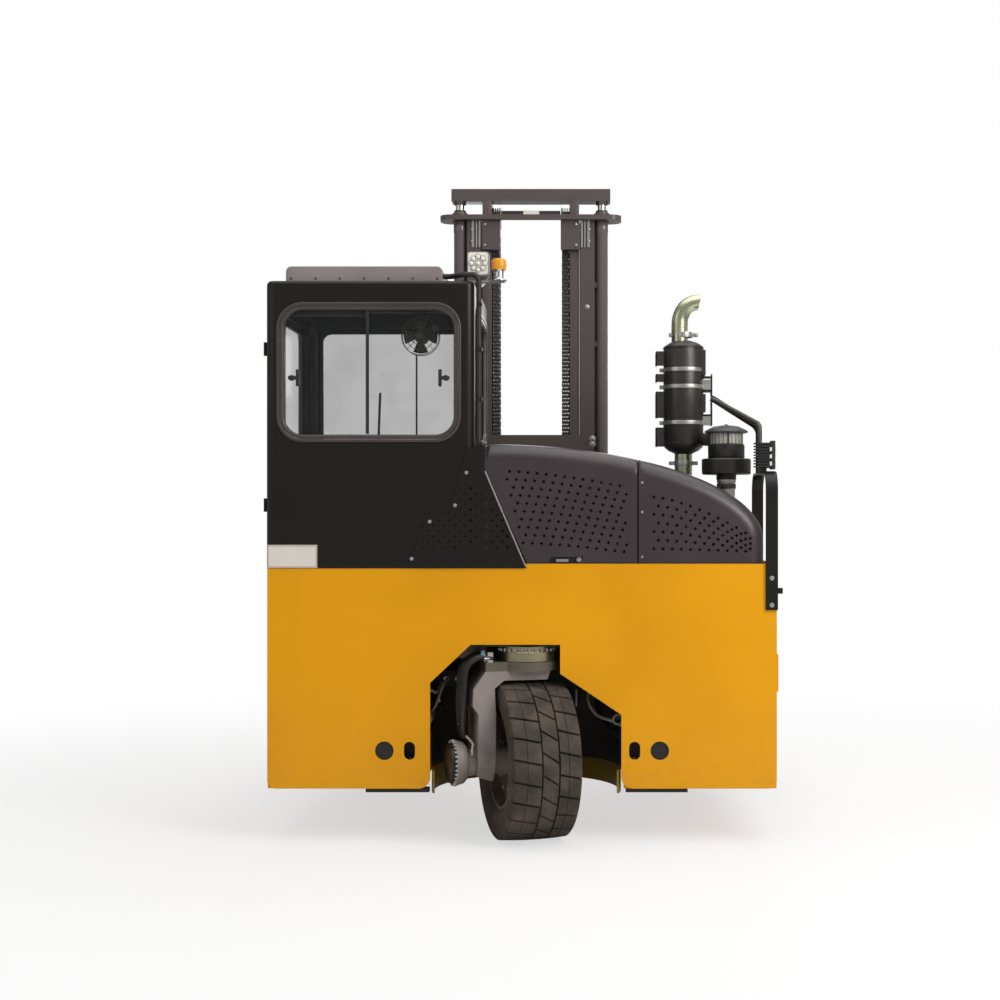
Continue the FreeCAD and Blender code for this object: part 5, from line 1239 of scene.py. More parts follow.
    def levers(self):
        """Four levers with their knobs, and the round switch at the left."""
        knobs, rods = Form(), Form()
        for number in range(4):
            x = -470 + number * 24
            rod(rods, 4, (1380, 1452), (x, 800, 0), "z", 12)
            turning(knobs, [(0, 1446), (8, 1446), (12, 1462), (11, 1476), (5, 1484), (0, 1485)],
                    (x, 800, 0), "z", 20)
        turning(knobs, [(0, 1388), (16, 1388), (12, 1404), (0, 1406)], (-830, 806, 0), "z", 24)
        form_piece("lever_rods", rods, "bright_steel")
        form_piece("lever_knobs", knobs, "trim_black")


class SIDELOADER_OT_exhaust(bpy.types.Operator):
    """Build the muffler with its tail, clamps and shields, and the pre-cleaner"""
    bl_idname = "sideloader.exhaust"
    bl_label = "Exhaust and air intake"

    def execute(self, context):
        low, high = extent("muffler")
        x, depth = (low + high)[:2] / 2
        self.can(x, depth, low[2], high[2])
        self.clamps(x, depth)
        self.shields(depth)
        elbow = hose(Form(), [(x + 40, depth, 1800), (x + 92, depth - 30, 1800),
                              (x + 128, depth - 90, 1795), (x + 160, depth - 130, 1790)], 30, 24)
        form_piece("intake_elbow", elbow, "cleaner_grey")
        self.tail(x, depth)
        rust = turning(Form(), [(0, 1560), (43, 1560), (43.5, 1564), (43.5, 1600), (42, 1604),
                                (0, 1604)], (x, depth, 0), "z", 40)
        form_piece("pipe_sleeve", rust, "exhaust_steel")
        self.cleaner()
        self.brace()
        self.side_lamp()
        return {"FINISHED"}

    def can(self, x, depth, low, high):
        """The muffler's can and the seams near its ends."""
        body = turning(Form(), [(0, low), (40, low), (46, low + 6), (70, low + 16),
                                (88, low + 32), (94, low + 48), (94, high - 30), (92, high - 26),
                                (72, high - 10), (44, high), (0, high)], (x, depth, 0), "z", 64)
        form_piece("muffler_can", body, "muffler_black", replaces=("muffler",))
        seams = Form()
        for z in (low + 52, high - 34):
            band(seams, [(93, z - 3), (96.5, z - 2), (96.5, z + 2), (93, z + 3)], (x, depth, 0))
        form_piece("muffler_seams", seams, "muffler_black")

    def clamps(self, x, depth):
        """Straps round the can with their lugs and bolts, and the pipes' flanges."""
        clamps = Form()
        for z in (2125, 2046, 1878):
            band(clamps, [(94, z - 9), (97, z - 9), (97.5, z), (97, z + 9), (94, z + 9)],
                 (x, depth, 0))
            block(clamps, (x - 112, x - 92), (depth - 12, depth - 4), (z - 9, z + 9))
            block(clamps, (x - 112, x - 92), (depth + 4, depth + 12), (z - 9, z + 9))
            bolts(clamps, [(x - 103, depth - 12, z)], 5, 8)
        for z, radius in ((2291, 43), (1690, 43)):
            band(clamps, [(radius - 3, z - 12), (radius, z - 12), (radius + 0.8, z),
                          (radius, z + 12), (radius - 3, z + 12)], (x, depth, 0), "z", 48)
            for side in (-1, 1):
                block(clamps, (x + side * 40, x + side * 68), (depth - 4, depth + 4),
                      (z - 9, z + 9))
                bolts(clamps, [(x + side * 58, depth - 4, z)], 6, 12)
        for z in (2057, 1891):
            block(clamps, (815, 866), (depth - 26, depth + 26), (z - 23, z + 23))
        form_piece("exhaust_clamps", clamps, "bright_steel", bevel=0.0008)

    def shields(self, depth):
        """Folded heat shields, finned on the left."""
        shields = Form()
        for lowest, highest in ((2144, 2212), (2068, 2106), (1900, 2024), (1766, 1856)):
            block(shields, (608, 648), (depth - 34, depth - 30), (lowest, highest))
            block(shields, (608, 613), (depth - 34, depth + 30), (lowest, highest))
            for z in np.arange(lowest + 8, highest - 4, 14):
                block(shields, (606, 608), (depth - 30, depth + 26), (z, z + 5))
        for lowest, highest in ((2101, 2218), (1929, 2012)):
            block(shields, (832, 840), (depth - 40, depth + 40), (lowest, highest))
            block(shields, (816, 840), (depth - 44, depth - 40), (lowest, highest))
        form_piece("heat_shields", shields, "trim_black", bevel=0.001)

    def tail(self, x, depth):
        """The lower pipe, and the bent tail whose cut slants by 0.42 of its height."""
        foot = span("exhaust_pipe", "z")[0] / MM
        pipe = rod(Form(), 41, (foot, 1745), (x, depth, 0), "z", 48)
        rows = np.array([(x - 18, depth, 2255), (x - 18, depth, 2330), (x - 14, depth, 2375),
                         (x + 6, depth, 2415), (x + 36, depth, 2436), (x + 74, depth, 2446)])
        pipe.sweep(smooth_path(spots(rows), 8), circle(0.0385, 40), (0, 1, 0))
        end, middle = (x + 20) * MM, 2.442

        def slanted(p):
            """Slant the cut: nothing before the bend's end, all of it 54 mm on."""
            share = np.clip((p[:, 0] - end) / 0.054, 0, 1) ** 2 * (p[:, 2] > 2.38)
            return p + np.stack([share * (p[:, 2] - middle) * 0.42, share * 0, share * 0], 1)
        form_piece("exhaust_tail", pipe.moved(slanted), "exhaust_steel",
                   replaces=("exhaust_pipe",), angle=50)
        # A dark disc in the tail's mouth: painted shade inside the pipe.
        bore = Form().disc(spots([(x + 74.6, depth, 2446)]) + np.stack(
            [circle(0.034, 32)[:, 1] * 0.42 + 0.001, circle(0.034, 32)[:, 0],
             circle(0.034, 32)[:, 1]], 1))
        form_piece("tail_bore", bore, "well_black")

    def cleaner(self):
        """The pre-cleaner's ribbed lid and bowl, with what carries them below."""
        low, high = extent("pre_cleaner")
        centre = (low + high) / 2 * (1, 1, 0)
        foot, top = low[2], high[2]
        lid = turning(Form(), [(0, top - 42), (88, top - 42), (100, top - 38), (100, top - 34),
                               (94, top - 28), (82, top - 22), (58, top - 10), (24, top - 5),
                               (10, top - 4), (8, top), (0, top)], centre, "z", 64)
        turn = np.arange(24) * np.pi / 12
        for angle in turn[::2]:
            rib = Form().box((-0.002, 0.002), (0.060, 0.098), (0, 0.004))
            lid.copies(turned_about(rib, angle, (0, 0, 0)),
                       spots([(centre[0], centre[1], top - 34)]))
        form_piece("cleaner_lid", lid, "cleaner_grey", bevel=0.0006)
        bowl = turning(Form(), [(0, top - 93), (72, top - 93), (75, top - 90), (76, top - 46),
                                (74, top - 40), (0, top - 40)], centre, "z", 64)
        form_piece("cleaner_bowl", bowl, "pale_bowl")
        ribs = Form()
        for angle in turn:
            c, s = math.cos(angle), math.sin(angle)
            reach = 76 + (angle == turn[18]) * 1.5      # one rib stands prouder, at the seam
            rod(ribs, 1.4, (top - 92, top - 42),
                (centre[0] + reach * c, centre[1] + reach * s, 0), "z", 6)
        rod(ribs, 4, (top - 92, top - 42), (centre[0] + 4, centre[1] - 75, 0), "z", 8)
        form_piece("bowl_ribs", ribs, "cleaner_grey")
        self.cleaner_base(centre, foot, top)

    def cleaner_base(self, centre, foot, top):
        """The base with its rain ring, the neck and its clamp."""
        base = turning(Form(), [(0, top - 160), (82, top - 160), (84, top - 156), (84, top - 97),
                                (80, top - 92), (0, top - 92)], centre, "z", 64)
        turning(base, [(0, 1633), (108, 1633), (112, 1637), (113, 1660), (113, 1700), (109, 1705),
                       (84, 1708), (0, 1708)], centre, "z", 64)
        rod(base, 46, (1610, 1640), centre, "z", 40)
        form_piece("cleaner_base", base, "motor_black")
        neck = turning(Form(), [(0, foot), (40, foot), (40, 1566), (43, 1568), (43, 1584),
                                (40, 1586), (40, 1594), (44, 1596), (44, 1612), (0, 1612)],
                       centre, "z", 48)
        form_piece("cleaner_neck", neck, "bright_steel", replaces=("pre_cleaner",))
        dark = rod(Form(), 44.5, (1568, 1590), centre, "z", 48)
        bolts(dark, [(centre[0] - 34, centre[1] - 40, 1578)], 5, 9)
        form_piece("neck_clamp", dark, "dark_steel")

    def brace(self):
        """The bent tube from the muffler's strap to the guard, and the guard's bolts."""
        tube = hose(Form(), [(869, 420, 1990), (900, 400, 1972), (1040, 250, 1880),
                             (1066, 214, 1858), (1070, 200, 1820), (1066, 190, 1660),
                             (1066, 190, 1640)], 11, 16)
        form_piece("brace_tube", tube, "dark_steel")
        rows = [(1102, -10, 1169), (1102, -10, 1050)]
        form_piece("guard_bolts", bolts(Form(), rows, 8, 7), "bright_steel")

    def side_lamp(self):
        """The ribbed lamp on the guard, its lens towards the right."""
        x, depth, z = (1028, 1129), (60, 130), (1643, 1778)
        case = block(Form(), (x[0] + 22, x[1] - 14), (depth[0] + 8, depth[1] - 6),
                     (z[0] + 14, z[1] - 8))
        for place in np.linspace(z[0] + 18, z[1] - 14, 9):
            block(case, (x[0] + 6, x[1] - 16), depth, (place, place + 5))
        block(case, (x[1] - 22, x[1] - 4), depth, (z[0] + 8, z[1]))
        block(case, (x[0] + 36, x[1] - 40), (84, 106), (z[0] - 3, z[0] + 16))
        form_piece("side_lamp_case", case, "trim_black", bevel=0.0015, replaces=("side_lamp",))
        lens = block(Form(), (x[1] - 5, x[1]), (depth[0] + 5, depth[1] - 5), (z[0] + 14, z[1] - 6))
        for place in (1668, 1700, 1732):
            block(lens, (1100, 1110), (depth[0] - 1, depth[0] + 6), (place, place + 16))
        form_piece("side_lamp_lens", lens, "lamp_lens", bevel=0.001)


CHAIN_X, CHAIN_PITCH = 175, 18.8       # each chain's middle, and the distance between pins
WHEEL_DEPTH, WHEEL_HIGH, CHAIN_REACH = 1100, 2960, 45  # chain wheels' axis, chain's radius on it
REAR_RUN, FRONT_RUN = WHEEL_DEPTH - CHAIN_REACH, WHEEL_DEPTH + CHAIN_REACH
ROD_X, ROD_DEPTH = 360, 1060           # axes of the lift cylinders
TIE_LOW, TIE_TOP, HEAD_LOW = 2937, 2962, 3039  # tie plate's two faces, crosshead's underside
RAIL_LOW = 330                         # where the strips along the rails begin


def leaf_chain(form, low, high, depth, sides=(-CHAIN_X, CHAIN_X)):
    """Two upright leaf chains: plates on pins, all in millimetres.

    Plate n of a link stands at x = 4.6 n - 16.1, and every second plate joins the next pair
    of pins, so it is one pitch higher.
    """
    outline = [(-8, -9.4), (-4, -16.4), (4, -16.4), (8, -9.4), (8, 9.4), (4, 16.4), (-4, 16.4),
               (-8, 9.4)]
    plate = Form().prism(np.array(outline) * MM, "yz", -0.0019, 0.0019)
    pin = Form().lathe(np.array([(0, -18), (4.2, -18), (4.2, 18), (0, 18)]) * MM, (0, 0, 0),
                       "x", 6)
    levels = np.arange(low + 17, high - 16, CHAIN_PITCH)
    for side in sides:
        for row in range(8):
            heights = levels[row % 2::2]
            form.copies(plate, spots(np.stack([heights * 0 + side + 4.6 * row - 16.1,
                                               heights * 0 + depth, heights], 1)))
        form.copies(pin, spots(np.stack([levels * 0 + side, levels * 0 + depth,
                                         levels + CHAIN_PITCH / 2], 1)[:-1]))
    return form


class SIDELOADER_OT_chains(bpy.types.Operator):
    """Hang the two lift chains over their grooved wheels"""
    bl_idname = "sideloader.chains"
    bl_label = "Chains"

    def execute(self, context):
        low, high = (value / MM for value in span("rear_chains", "z"))
        form_piece("rear_leaf_chains", leaf_chain(Form(), low, high, REAR_RUN), "chain_steel",
                   "mast", replaces=("rear_chains",))
        low, high = (value / MM for value in span("front_chains", "z"))
        front = form_piece("front_leaf_chains", leaf_chain(Form(), low, high, FRONT_RUN),
                           "chain_steel", "inner_mast", replaces=("front_chains",))
        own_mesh(front)
        self.wheels(high)
        return {"FINISHED"}

    def wheels(self, high):
        """Grooved wheels, their cheeks, and the chains' turn over them."""
        wheels, cheeks, turn = Form(), Form(), Form()
        link = leaf_chain(Form(), -17, 20, -REAR / MM, (0,))
        for side in (-CHAIN_X, CHAIN_X):
            turning(wheels, [(0, -21), (53, -21), (54, -20), (53, -19), (36, -18.6), (36, 18.6),
                             (53, 19), (54, 20), (53, 21), (0, 21)],
                    (side, WHEEL_DEPTH, WHEEL_HIGH), "x", 48)
            for edge in (-21.5, 21.5):
                near, far = sorted((side + edge, side + edge * 1.02))
                block(cheeks, (near - 0.4, far + 0.4), (1082, 1118), (WHEEL_HIGH - 15, HEAD_LOW))
            bolts(cheeks, [(side - 22, WHEEL_DEPTH, WHEEL_HIGH)], 9, 0.1, "x")
            for angle in np.arange(8) * np.pi / 7:
                c, s = math.cos(angle), math.sin(angle)
                bent = Form().copies(link, [(0, 0, 0)]).moved(
                    lambda p, c=c, s=s: p @ np.array([[1, 0, 0], [0, c, s], [0, -s, c]]))
                turn.copies(bent, spots([(side, WHEEL_DEPTH + CHAIN_REACH * c,
                                          WHEEL_HIGH + CHAIN_REACH * s)]))
        leaf_chain(turn, high, WHEEL_HIGH, REAR_RUN)
        leaf_chain(turn, high, WHEEL_HIGH, FRONT_RUN)
        form_piece("chain_wheels", wheels, "dark_steel", "inner_mast", replaces=("chain_sheaves",))
        for side in (-1, 1):
            block(cheeks, (side * 194, side * 199), (1070, 1130), (RAIL_LOW, high))
        form_piece("wheel_cheeks", cheeks, "mast_paint", "inner_mast")
        form_piece("chain_turns", turn, "chain_steel", "inner_mast")


class SIDELOADER_OT_mast(bpy.types.Operator):
    """Finish the mast, its glands, covers, wear strips, rollers and cross bar"""
    bl_idname = "sideloader.mast"
    bl_label = "Mast"

    def execute(self, context):
        dress("mast_outer", bevel=0.003, segments=3)
        dress("mast_inner", bevel=0.003, segments=3)
        glands, covers, bright = Form(), Form(), Form()
        for side in (-1, 1):
            turning(glands, [(0, TIE_LOW), (40, TIE_LOW), (40, 2975), (36, 2980), (30, 2980),
                             (30, 2992), (0, 2992)], (side * ROD_X, ROD_DEPTH, 0), "z", 40)
            rod(glands, 30, (3020, HEAD_LOW), (side * ROD_X, ROD_DEPTH, 0), "z", 6)
            block(covers, (side * 152, side * 248), (1010, 1032), (2788, TIE_LOW))
            for place, wide in ((254, 9), (271, 6), (286, 12)):
                block(bright, (side * place, side * (place + wide)), (1014, 1020),
                      (2800, TIE_LOW - 1))
            bolts(bright, [(side * 296, 1012, 2890), (side * 296, 1012, 2830)], 5, 3)
            bolts(bright, [(side * 230, 1007, 2915), (side * 230, 1007, 2810)], 5, 3)
            block(glands, (side * 246.2, side * 252), (1095, 1110), (RAIL_LOW, TIE_LOW - 1))
            block(glands, (side * 322, side * 330), (1066, 1078), (RAIL_LOW, TIE_LOW - 1))
            for place in (-40, 40):
                bolts(glands, [(side * (ROD_X + place), ROD_DEPTH, TIE_TOP)], 8, 9, "z", 1)
            for z in (700, 1100, 1500, 2300, 2600):
                block(glands, (side * 322, side * 346), (1040, 1080), (z, z + 26))
            for z in (420, 900, 1500, 2500):
                bolts(bright, [(side * 286, 1020, z)], 9, 6)
        bolts(bright, [(313, 980, 1831), (313, 980, 1804), (-313, 980, 1831),
                       (-313, 980, 1804)], 12, 8)
        form_piece("mast_glands", glands, "dark_steel", "mast", bevel=0.001)
        form_piece("chain_covers", covers, "mast_paint", "mast", bevel=0.005, segments=3)
        form_piece("mast_strips", bright, "bright_steel", "mast", bevel=0.0008)
        self.cross_bar()
        self.barrels()
        return {"FINISHED"}

    def cross_bar(self):
        """The bar between the chains and the blank plate on it."""
        bar = block(Form(), (-150, 150), (1040, 1052), (2963, 2989))
        form_piece("cross_bar", bar, "trim_black", "mast", bevel=0.002)
        label = block(Form(), (-38, 42), (1038, 1040), (2961, 2991))
        form_piece("bar_plate", label, "plate_white", "mast", bevel=0.0006)

    def barrels(self):
        """The lift cylinders' barrels with their collars, and their rods."""
        low, high = (value / MM for value in span("lift_cylinders", "z"))
        barrels, rods = Form(), Form()
        for side in (-1, 1):
            turning(barrels, [(0, low), (33, low), (33, low + 30), (31, low + 34),
                              (31, high - 60), (33, high - 56), (33, high - 20), (31, high - 16),
                              (31, high), (0, high)], (side * ROD_X, ROD_DEPTH, 0), "z", 40)
            rod(rods, 22, (340, HEAD_LOW), (side * ROD_X, ROD_DEPTH, 0), "z", 32)
        form_piece("lift_barrels", barrels, "cylinder_paint", "mast", replaces=("lift_cylinders",))
        form_piece("lift_rods_polished", rods, "chrome_rod", "inner_mast", replaces=("lift_rods",))


class SIDELOADER_OT_lamps(bpy.types.Operator):
    """Build the work lamp with its diodes, the beacon and the conduit's clips"""
    bl_idname = "sideloader.lamps"
    bl_label = "Lamps"

    def execute(self, context):
        self.work_lamp()
        self.beacon()
        clips = Form()
        for z in (1760, 1960, 2180, 2380):
            block(clips, (-197, -176), (3, 32), (z - 7, z + 7))
        form_piece("conduit_clips", clips, "hose_black", bevel=0.003)
        return {"FINISHED"}

    def work_lamp(self):
        """A finned case, a lens with nine diodes in their cups, and the wires."""
        middle, high = -198.5, 2567
        case = Form().sweep(spots([(middle, 98, high), (middle, 62, high)]),
                            rounded(0.097, 0.106, 0.012, 5), (0, 0, 1))
        block(case, (-246, -80), (74, 92), (2484, 2494))
        for number in range(6):
            x = -238 + number * 15
            block(case, (x, x + 4), (98, 108), (2522, 2612))
        form_piece("work_lamp_case", case, "roof_grey", bevel=0.001, replaces=("work_lamp",))
        face = Form().sweep(spots([(middle, 63, high), (middle, 59, high)]),
                            rounded(0.088, 0.097, 0.010, 5), (0, 0, 1))
        turn = np.arange(8) * np.pi / 4
        places = np.concatenate([[(0, 0)], 30 * np.stack([np.cos(turn), np.sin(turn)], 1)])
        for x, z in places:
            turning(face, [(0, -4), (4, -3.6), (8, -1.6), (10, 0), (10.5, 2), (0, 2)],
                    (middle + x, 58, high + z), "y", 20)
        form_piece("work_lamp_lens", face, "lamp_lens")
        cups = Form()
        for x, z in places:
            band(cups, [(11, -1.2), (13, -1.2), (13, 1), (11, 1)], (middle + x, 58, high + z),
                 "y", 20)
        form_piece("diode_cups", cups, "bright_steel")
        wires = hose(Form(), [(-205, 84, 2512), (-185, 84, 2492), (-170, 80, 2478),
                              (-186, 70, 2462)], 2.5)
        hose(wires, [(-150, 84, 2520), (-158, 84, 2500), (-176, 80, 2480), (-190, 70, 2470)], 2.5)
        form_piece("lamp_wires", wires, "bright_steel")

    def beacon(self):
        """A turned stand, a dome and the dome's three rings."""
        centre = (-106, 76, 0)
        base = turning(Form(), [(0, 2491), (36, 2491), (36, 2495), (24, 2499), (21, 2504),
                                (21, 2530), (26, 2536), (30, 2541), (0, 2541)], centre, "z", 40)
        form_piece("beacon_base", base, "chrome_rod", replaces=("beacon",))
        dome = turning(Form(), [(0, 2540), (32, 2540), (33, 2544), (33, 2578), (31, 2585),
                                (25, 2589), (0, 2589)], centre, "z", 48)
        form_piece("beacon_dome", dome, "amber_lens")
        rings = Form()
        for z in (2551, 2561, 2571):
            band(rings, [(32.5, z - 1), (34, z), (32.5, z + 1)], centre, "z", 48)
        form_piece("beacon_rings", rings, "amber_lens")


class SIDELOADER_OT_decks(bpy.types.Operator):
    """Lay the grip plates, bolts and edge strips on both decks, and finish the reach gear"""
    bl_idname = "sideloader.decks"
    bl_label = "Decks and reach"

    def execute(self, context):
        long, wide, high = 0.014, 0.0034, 0.0024
        lug = Form().prism([(-long, 0), (0, -wide), (long, 0), (0, wide)], "xy", 0, high)
        cross = Form().prism([(-wide, 0), (0, -long), (wide, 0), (0, long)], "xy", 0, high)
        top = span("deck_left", "z")[1] / MM
        plates, rivets, strips = Form(), Form(), Form()
        ends = (970, (span("deck_left", "y")[1] - REAR) / MM - 20)
        for side in (-1, 1):
            near, far = sorted((side * 480, side * 1100))
            block(plates, (near, far), ends, (top, top + 3))
            x, y = np.meshgrid(np.arange(near + 28, far - 20, 44),
                               np.arange(ends[0] + 28, ends[1] - 20, 44))
            odd = ((np.round((x - near) / 44) + np.round((y - ends[0]) / 44)) % 2).astype(bool)
            for shape, keep in ((lug, odd), (cross, ~odd)):
                plates.copies(shape, spots(np.stack([x[keep], y[keep],
                                                     x[keep] * 0 + top + 3], 1)))
            for depth in np.linspace(ends[0] + 14, ends[1] - 14, 8):
                for place in (near + 12, far - 12):
                    bolts(rivets, [(place, depth, top + 3)], 5, 3, "z", 1)
            block(strips, (side * 1106, side * 1124), ends, (top, top + 4))
        form_piece("grip_plates", plates, "dark_steel")
        form_piece("deck_rivets", rivets, "bright_steel")
        form_piece("edge_strips", strips, "trim_black", bevel=0.001)
        rollers = Form()
        for side in (-1, 1):
            for depth in (1290, 1600, 1900, 2200):
                bolts(rollers, [(side * 1125, depth, 640)], 10, 8, "x", side)
            turning(rollers, [(0, 1115), (27, 1115), (29, 1119), (29, 1140), (26, 1144),
                              (0, 1144)], (side * 424, 0, 540), "y", 32)
        form_piece("reach_glands", rollers, "dark_steel", bevel=0.001)
        return {"FINISHED"}


class SIDELOADER_OT_fork_gear(bpy.types.Operator):
    """Fit the fork hooks, pins and bolts, and the front wheels' nuts and caps"""
    bl_idname = "sideloader.fork_gear"
    bl_label = "Forks and front wheels"

    def execute(self, context):
        dress("forks", bevel=0.004, segments=3)
        dress("fork_carriage", bevel=0.003, segments=2)
        hooks, pins = Form(), Form()
        for side in (-1, 1):
            across = (side * 236, side * 344)
            block(hooks, across, (1176, 1226), (870, 889))
            block(hooks, across, (1180, 1190), (842, 872))
            block(hooks, across, (1180, 1190), (338, 368))
            turning(pins, [(0, 886), (11, 886), (11, 902), (17, 904), (17, 914), (0, 914)],
                    (side * 290, 1206, 0), "z", 24)
            for z in (395, 815):
                bolts(pins, [(side * 170, 1226, z)], 9, 6, "y", 1)
        for x in np.arange(-360, 361, 90):
            block(hooks, (x - 2, x + 2), (1189, 1213), (868, 873))
        form_piece("fork_hooks", hooks, "fork_steel", "fork_carriage_body", bevel=0.003)
        form_piece("fork_pins", pins, "bright_steel", "fork_carriage_body")
        for word, sign in (("left", -1), ("right", 1)):
            centre = np.array(JOINTS["front_%s_spin" % word]["pos_m"])
            face = span("front_rim_" + word, "x")[sign > 0] - centre[0]
            nuts = Form().copies(bolt(0.012, 0.016, "x", sign),
                                 centre + around(0.085, 8, "x", face - sign * 0.05))
            profile = np.array([(0, -60), (52, -60), (52, -30), (47, -22), (20, -18), (0, -18)])
            if sign < 0:
                profile = (profile * (1, -1))[::-1]
            nuts.lathe(profile * MM + (0, face), centre, "x", 32)
            form_piece("front_wheel_nuts_" + word, nuts, "bright_steel", "front_%s_wheel" % word)
        return {"FINISHED"}


class SIDELOADER_OT_engine(bpy.types.Operator):
    """Build the engine that stands under the hood"""
    bl_idname = "sideloader.engine"
    bl_label = "Engine"

    def execute(self, context):
        (x0, y0, z0), (x1, y1, z1) = extent("engine")
        self.block_and_cover(x0, x1, y0, y1, z0, z1)
        self.belt_gear((x0 + x1) / 2, y0, z0, z1)
        self.pipes(x1, y0, y1, z1)
        heads = Form()
        for x in (x0 + 110, x1 - 110):
            for place in np.linspace(y0 + 150, y1 - 120, 5):
                bolts(heads, [(x, place, z1 - 27)], 8, 9, "z", 1)
        turning(heads, [(0, z1 - 30), (26, z1 - 30), (30, z1 - 22), (30, z1 - 8), (0, z1)],
                ((x0 + x1) / 2, y0 + 200, 0), "z", 24)
        form_piece("engine_bolts", heads, "bright_steel")
        filters = turning(Form(), [(0, z0 + 40), (40, z0 + 44), (44, z0 + 60), (44, z0 + 190),
                                   (36, z0 + 200), (0, z0 + 200)],
                          (x0 + 46, y0 + 220, 0), "z", 32)
        form_piece("oil_filter", filters, "plate_white")
        return {"FINISHED"}

    def block_and_cover(self, x0, x1, y0, y1, z0, z1):
        """The ribbed block on its sump, and the rocker cover."""
        core = block(Form(), (x0 + 60, x1 - 60), (y0 + 90, y1 - 60), (z0 + 90, z1 - 190))
        block(core, (x0 + 90, x1 - 90), (y0 + 130, y1 - 90), (z0, z0 + 92))
        block(core, (x0 + 45, x1 - 45), (y0 + 100, y1 - 70), (z1 - 192, z1 - 90))
        for place in np.linspace(y0 + 130, y1 - 110, 8):
            block(core, (x0 + 50, x1 - 50), (place, place + 12), (z0 + 110, z1 - 205))
        form_piece("engine_core", core, "engine_block", bevel=0.008, segments=3,
                   replaces=("engine",))
        cover = block(Form(), (x0 + 90, x1 - 90), (y0 + 120, y1 - 90), (z1 - 90, z1 - 25))
        form_piece("rocker_cover", cover, "dark_steel", bevel=0.02, segments=4)

    def belt_gear(self, middle, y0, z0, z1):
        """Two grooved pulleys and the fan's six blades."""
        fan_high = z1 - 250
        belt = turning(Form(), [(0, y0 + 40), (88, y0 + 40), (88, y0 + 52), (80, y0 + 56),
                                (88, y0 + 60), (88, y0 + 72), (0, y0 + 90)],
                       (middle, 0, z0 + 220), "y", 40)
        turning(belt, [(0, y0 + 30), (62, y0 + 30), (62, y0 + 42), (56, y0 + 46), (62, y0 + 50),
                       (62, y0 + 62), (0, y0 + 90)], (middle, 0, fan_high), "y", 40)
        for turn in np.arange(6) * math.pi / 3:
            c, s = math.cos(turn), math.sin(turn)
            blade = np.array([(30, -12), (150, -26), (150, 22), (30, 10)]) * MM
            blade = blade @ np.array([[s, c], [c, -s]])
            belt.prism(blade[::-1] + np.array([fan_high, middle]) * MM, "zx", at(y0 + 6),
                       at(y0 + 14))
        form_piece("engine_belt_gear", belt, "trim_black", bevel=0.001)

    def pipes(self, x1, y0, y1, z1):
        """The manifold's four bent pipes and the one they join."""
        pipes = Form()
        for place in np.linspace(y0 + 170, y1 - 170, 4):
            hose(pipes, [(x1 - 70, place, z1 - 140), (x1 - 30, place, z1 - 140),
                         (x1 - 14, place, z1 - 170), (x1 - 16, place, z1 - 230)], 16, 16)
        hose(pipes, [(x1 - 20, y0 + 130, z1 - 240), (x1 - 20, y1 - 120, z1 - 240)], 20, 20,
             up=(0, 0, 1))
        form_piece("manifold", pipes, "exhaust_steel")


class SIDELOADER_OT_stage(bpy.types.Operator):
    """Set the floor, the lamps, the sky and the camera"""
    bl_idname = "sideloader.stage"
    bl_label = "Stage"

    def execute(self, context):
        self.floor()
        self.sky(context.scene)
        lamp("lamp_over", (0.8, -1.0, 6.5), (0, 0, 0.5), (7, 6), 260)
        lamp("lamp_left", (-5.5, -5.5, 4.2), (0, 0, 1.3), (4, 4), 40)
        lamp("lamp_right", (4.2, -4.6, 4.4), (0.4, -0.6, 1.3), (3, 3), 220)
        lamp("lamp_front", (0.5, 7.5, 4.5), (0, 0, 1.2), (5, 4), 180)
        camera = bpy.data.objects.new("camera", bpy.data.cameras.new("camera"))
        camera.location = (0.300, REAR - 7.0, 1.447)
        camera.rotation_euler = (math.radians(90), 0, 0)
        camera.data.shift_x, camera.data.shift_y = -0.09, 0.015
        camera.data.lens, camera.data.sensor_width = 57.1, 36
        context.scene.collection.objects.link(camera)
        context.scene.camera = camera
        context.scene.view_settings.view_transform = "Standard"
        return {"FINISHED"}

    def floor(self):
        """A large flat sheet, white to the eye but with the shadow kept."""
        ground = Form().grid(np.array([[(-30, -30, 0), (30, -30, 0)],
                                       [(-30, 30, 0), (30, 30, 0)]], float))
        sheet = bpy.data.objects.new("floor", ground.mesh("floor"))
        bpy.context.scene.collection.objects.link(sheet)
        finish = Finish("floor_pale", roughness=0.9, specular_ior_level=0.1,
                        base_color=srgb(232, 232, 231))
        seen = finish.node("LightPath", output="Is Camera Ray")
        glow = finish.node("Emission", {}, {"Color": (1, 1, 1, 1), "Strength": 1.0})
        away = finish.node("VectorMath", {"operation": "LENGTH"}, (finish.place(),), "Value")
        mixed = finish.node("MixShader", {}, {0: seen * (0.62 + away.smooth(1.5, 5.5) * 0.38),
                                              1: Wire(finish, finish.shader.outputs[0]),
                                              2: glow})
        output = finish.tree.nodes["Material Output"]
        finish.tree.links.new(mixed.socket, output.inputs["Surface"])
        sheet.data.materials.append(finish.material)

    def sky(self, scene):
        """Even grey light that looks white where it is seen directly or in a reflection."""
        world = bpy.data.worlds.new("sky")
        world.use_nodes = True
        tree = world.node_tree
        path = tree.nodes.new("ShaderNodeLightPath")
        back = tree.nodes["Background"]
        seen = tree.nodes.new("ShaderNodeMath")
        seen.operation = "MAXIMUM"
        tree.links.new(path.outputs["Is Camera Ray"], seen.inputs[0])
        tree.links.new(path.outputs["Is Transmission Ray"], seen.inputs[1])
        level = tree.nodes.new("ShaderNodeMapRange")
        level.inputs["To Min"].default_value = 0.38
        level.inputs["To Max"].default_value = 1.0
        tree.links.new(seen.outputs[0], level.inputs["Value"])
        tree.links.new(level.outputs["Result"], back.inputs["Strength"])
        back.inputs["Color"].default_value = (1, 1, 1, 1)
        scene.world = world


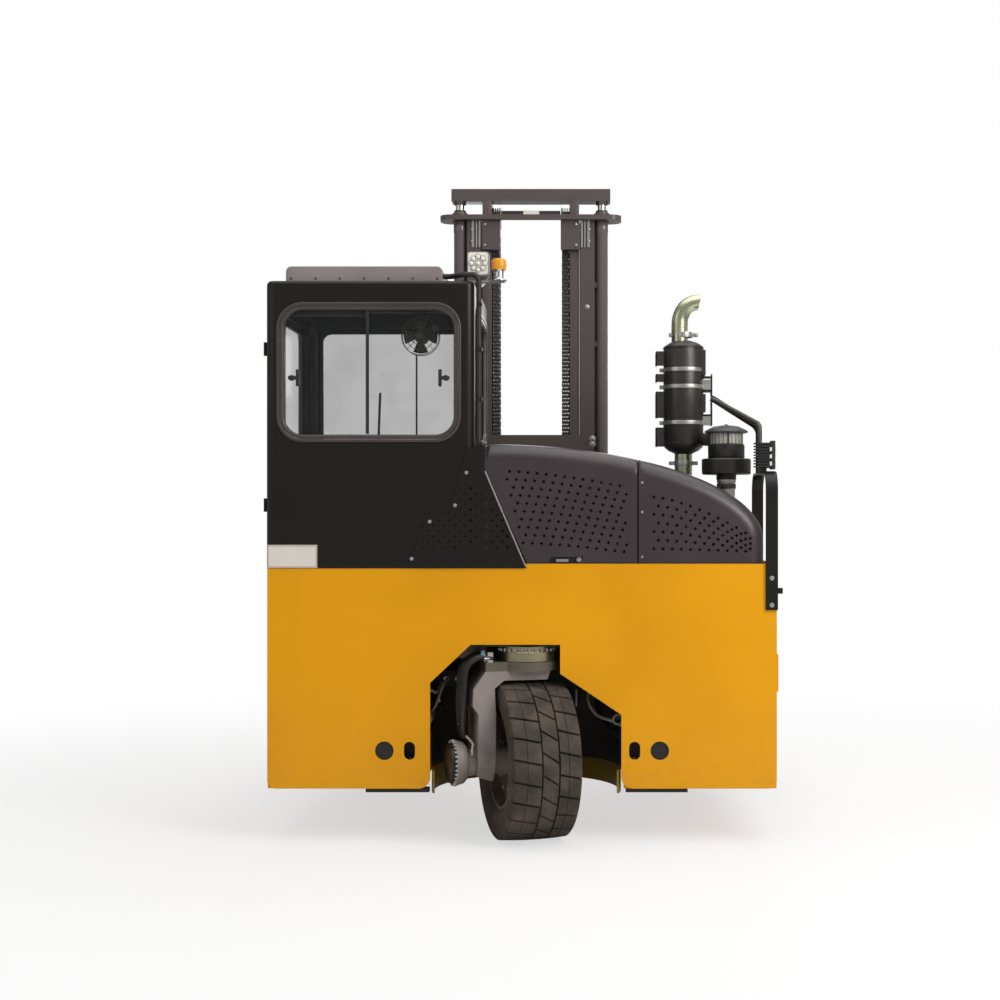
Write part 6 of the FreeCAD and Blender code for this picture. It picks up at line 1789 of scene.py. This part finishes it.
def lamp(name, place, target, size, power):
    """A soft rectangular lamp that faces a target."""
    light = bpy.data.lights.new(name, "AREA")
    light.shape, light.size, light.size_y, light.energy = "RECTANGLE", size[0], size[1], power
    holder = bpy.data.objects.new(name, light)
    holder.location = target
    aim = holder.location.copy()
    holder.location = place
    holder.rotation_euler = (aim - holder.location).to_track_quat("-Z", "Y").to_euler()
    bpy.context.scene.collection.objects.link(holder)


class SIDELOADER_PT_panel(bpy.types.Panel):
    """Lists the machine's settings and its operators"""
    bl_idname = "SIDELOADER_PT_panel"
    bl_label = "Sideloader"
    bl_space_type = "VIEW_3D"
    bl_region_type = "UI"
    bl_category = "Sideloader"

    def draw(self, context):
        for group in (context.scene.machine_looks, context.scene.tyre_sizes,
                      context.scene.hood_sizes):
            for name in group.__annotations__:
                self.layout.prop(group, name)
        for operator in OPERATORS:
            self.layout.operator(operator.bl_idname)


OPERATORS = (SIDELOADER_OT_finishes, SIDELOADER_OT_tyres, SIDELOADER_OT_rear_gear,
             SIDELOADER_OT_rear_panel, SIDELOADER_OT_hood, SIDELOADER_OT_cab,
             SIDELOADER_OT_cab_inside, SIDELOADER_OT_exhaust, SIDELOADER_OT_chains,
             SIDELOADER_OT_mast, SIDELOADER_OT_lamps, SIDELOADER_OT_decks,
             SIDELOADER_OT_fork_gear, SIDELOADER_OT_engine, SIDELOADER_OT_plain_nodes,
             SIDELOADER_OT_stage)
GROUPS = {"machine_looks": MachineLooks, "tyre_sizes": TyreSizes, "hood_sizes": HoodSizes}


def register():
    """Make the classes and settings known."""
    for name, group in GROUPS.items():
        bpy.utils.register_class(group)
        setattr(bpy.types.Scene, name, PointerProperty(type=group))
    for thing in OPERATORS + (SIDELOADER_PT_panel,):
        bpy.utils.register_class(thing)


def unregister():
    """Take the classes and settings away again."""
    for thing in reversed(OPERATORS + (SIDELOADER_PT_panel,)):
        bpy.utils.unregister_class(thing)
    for name, group in GROUPS.items():
        delattr(bpy.types.Scene, name)
        bpy.utils.unregister_class(group)


def main():
    """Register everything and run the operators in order."""
    register()
    for operator in OPERATORS:
        getattr(bpy.ops.sideloader, operator.bl_idname.split(".")[1])()


if __name__ == "__main__":
    main()
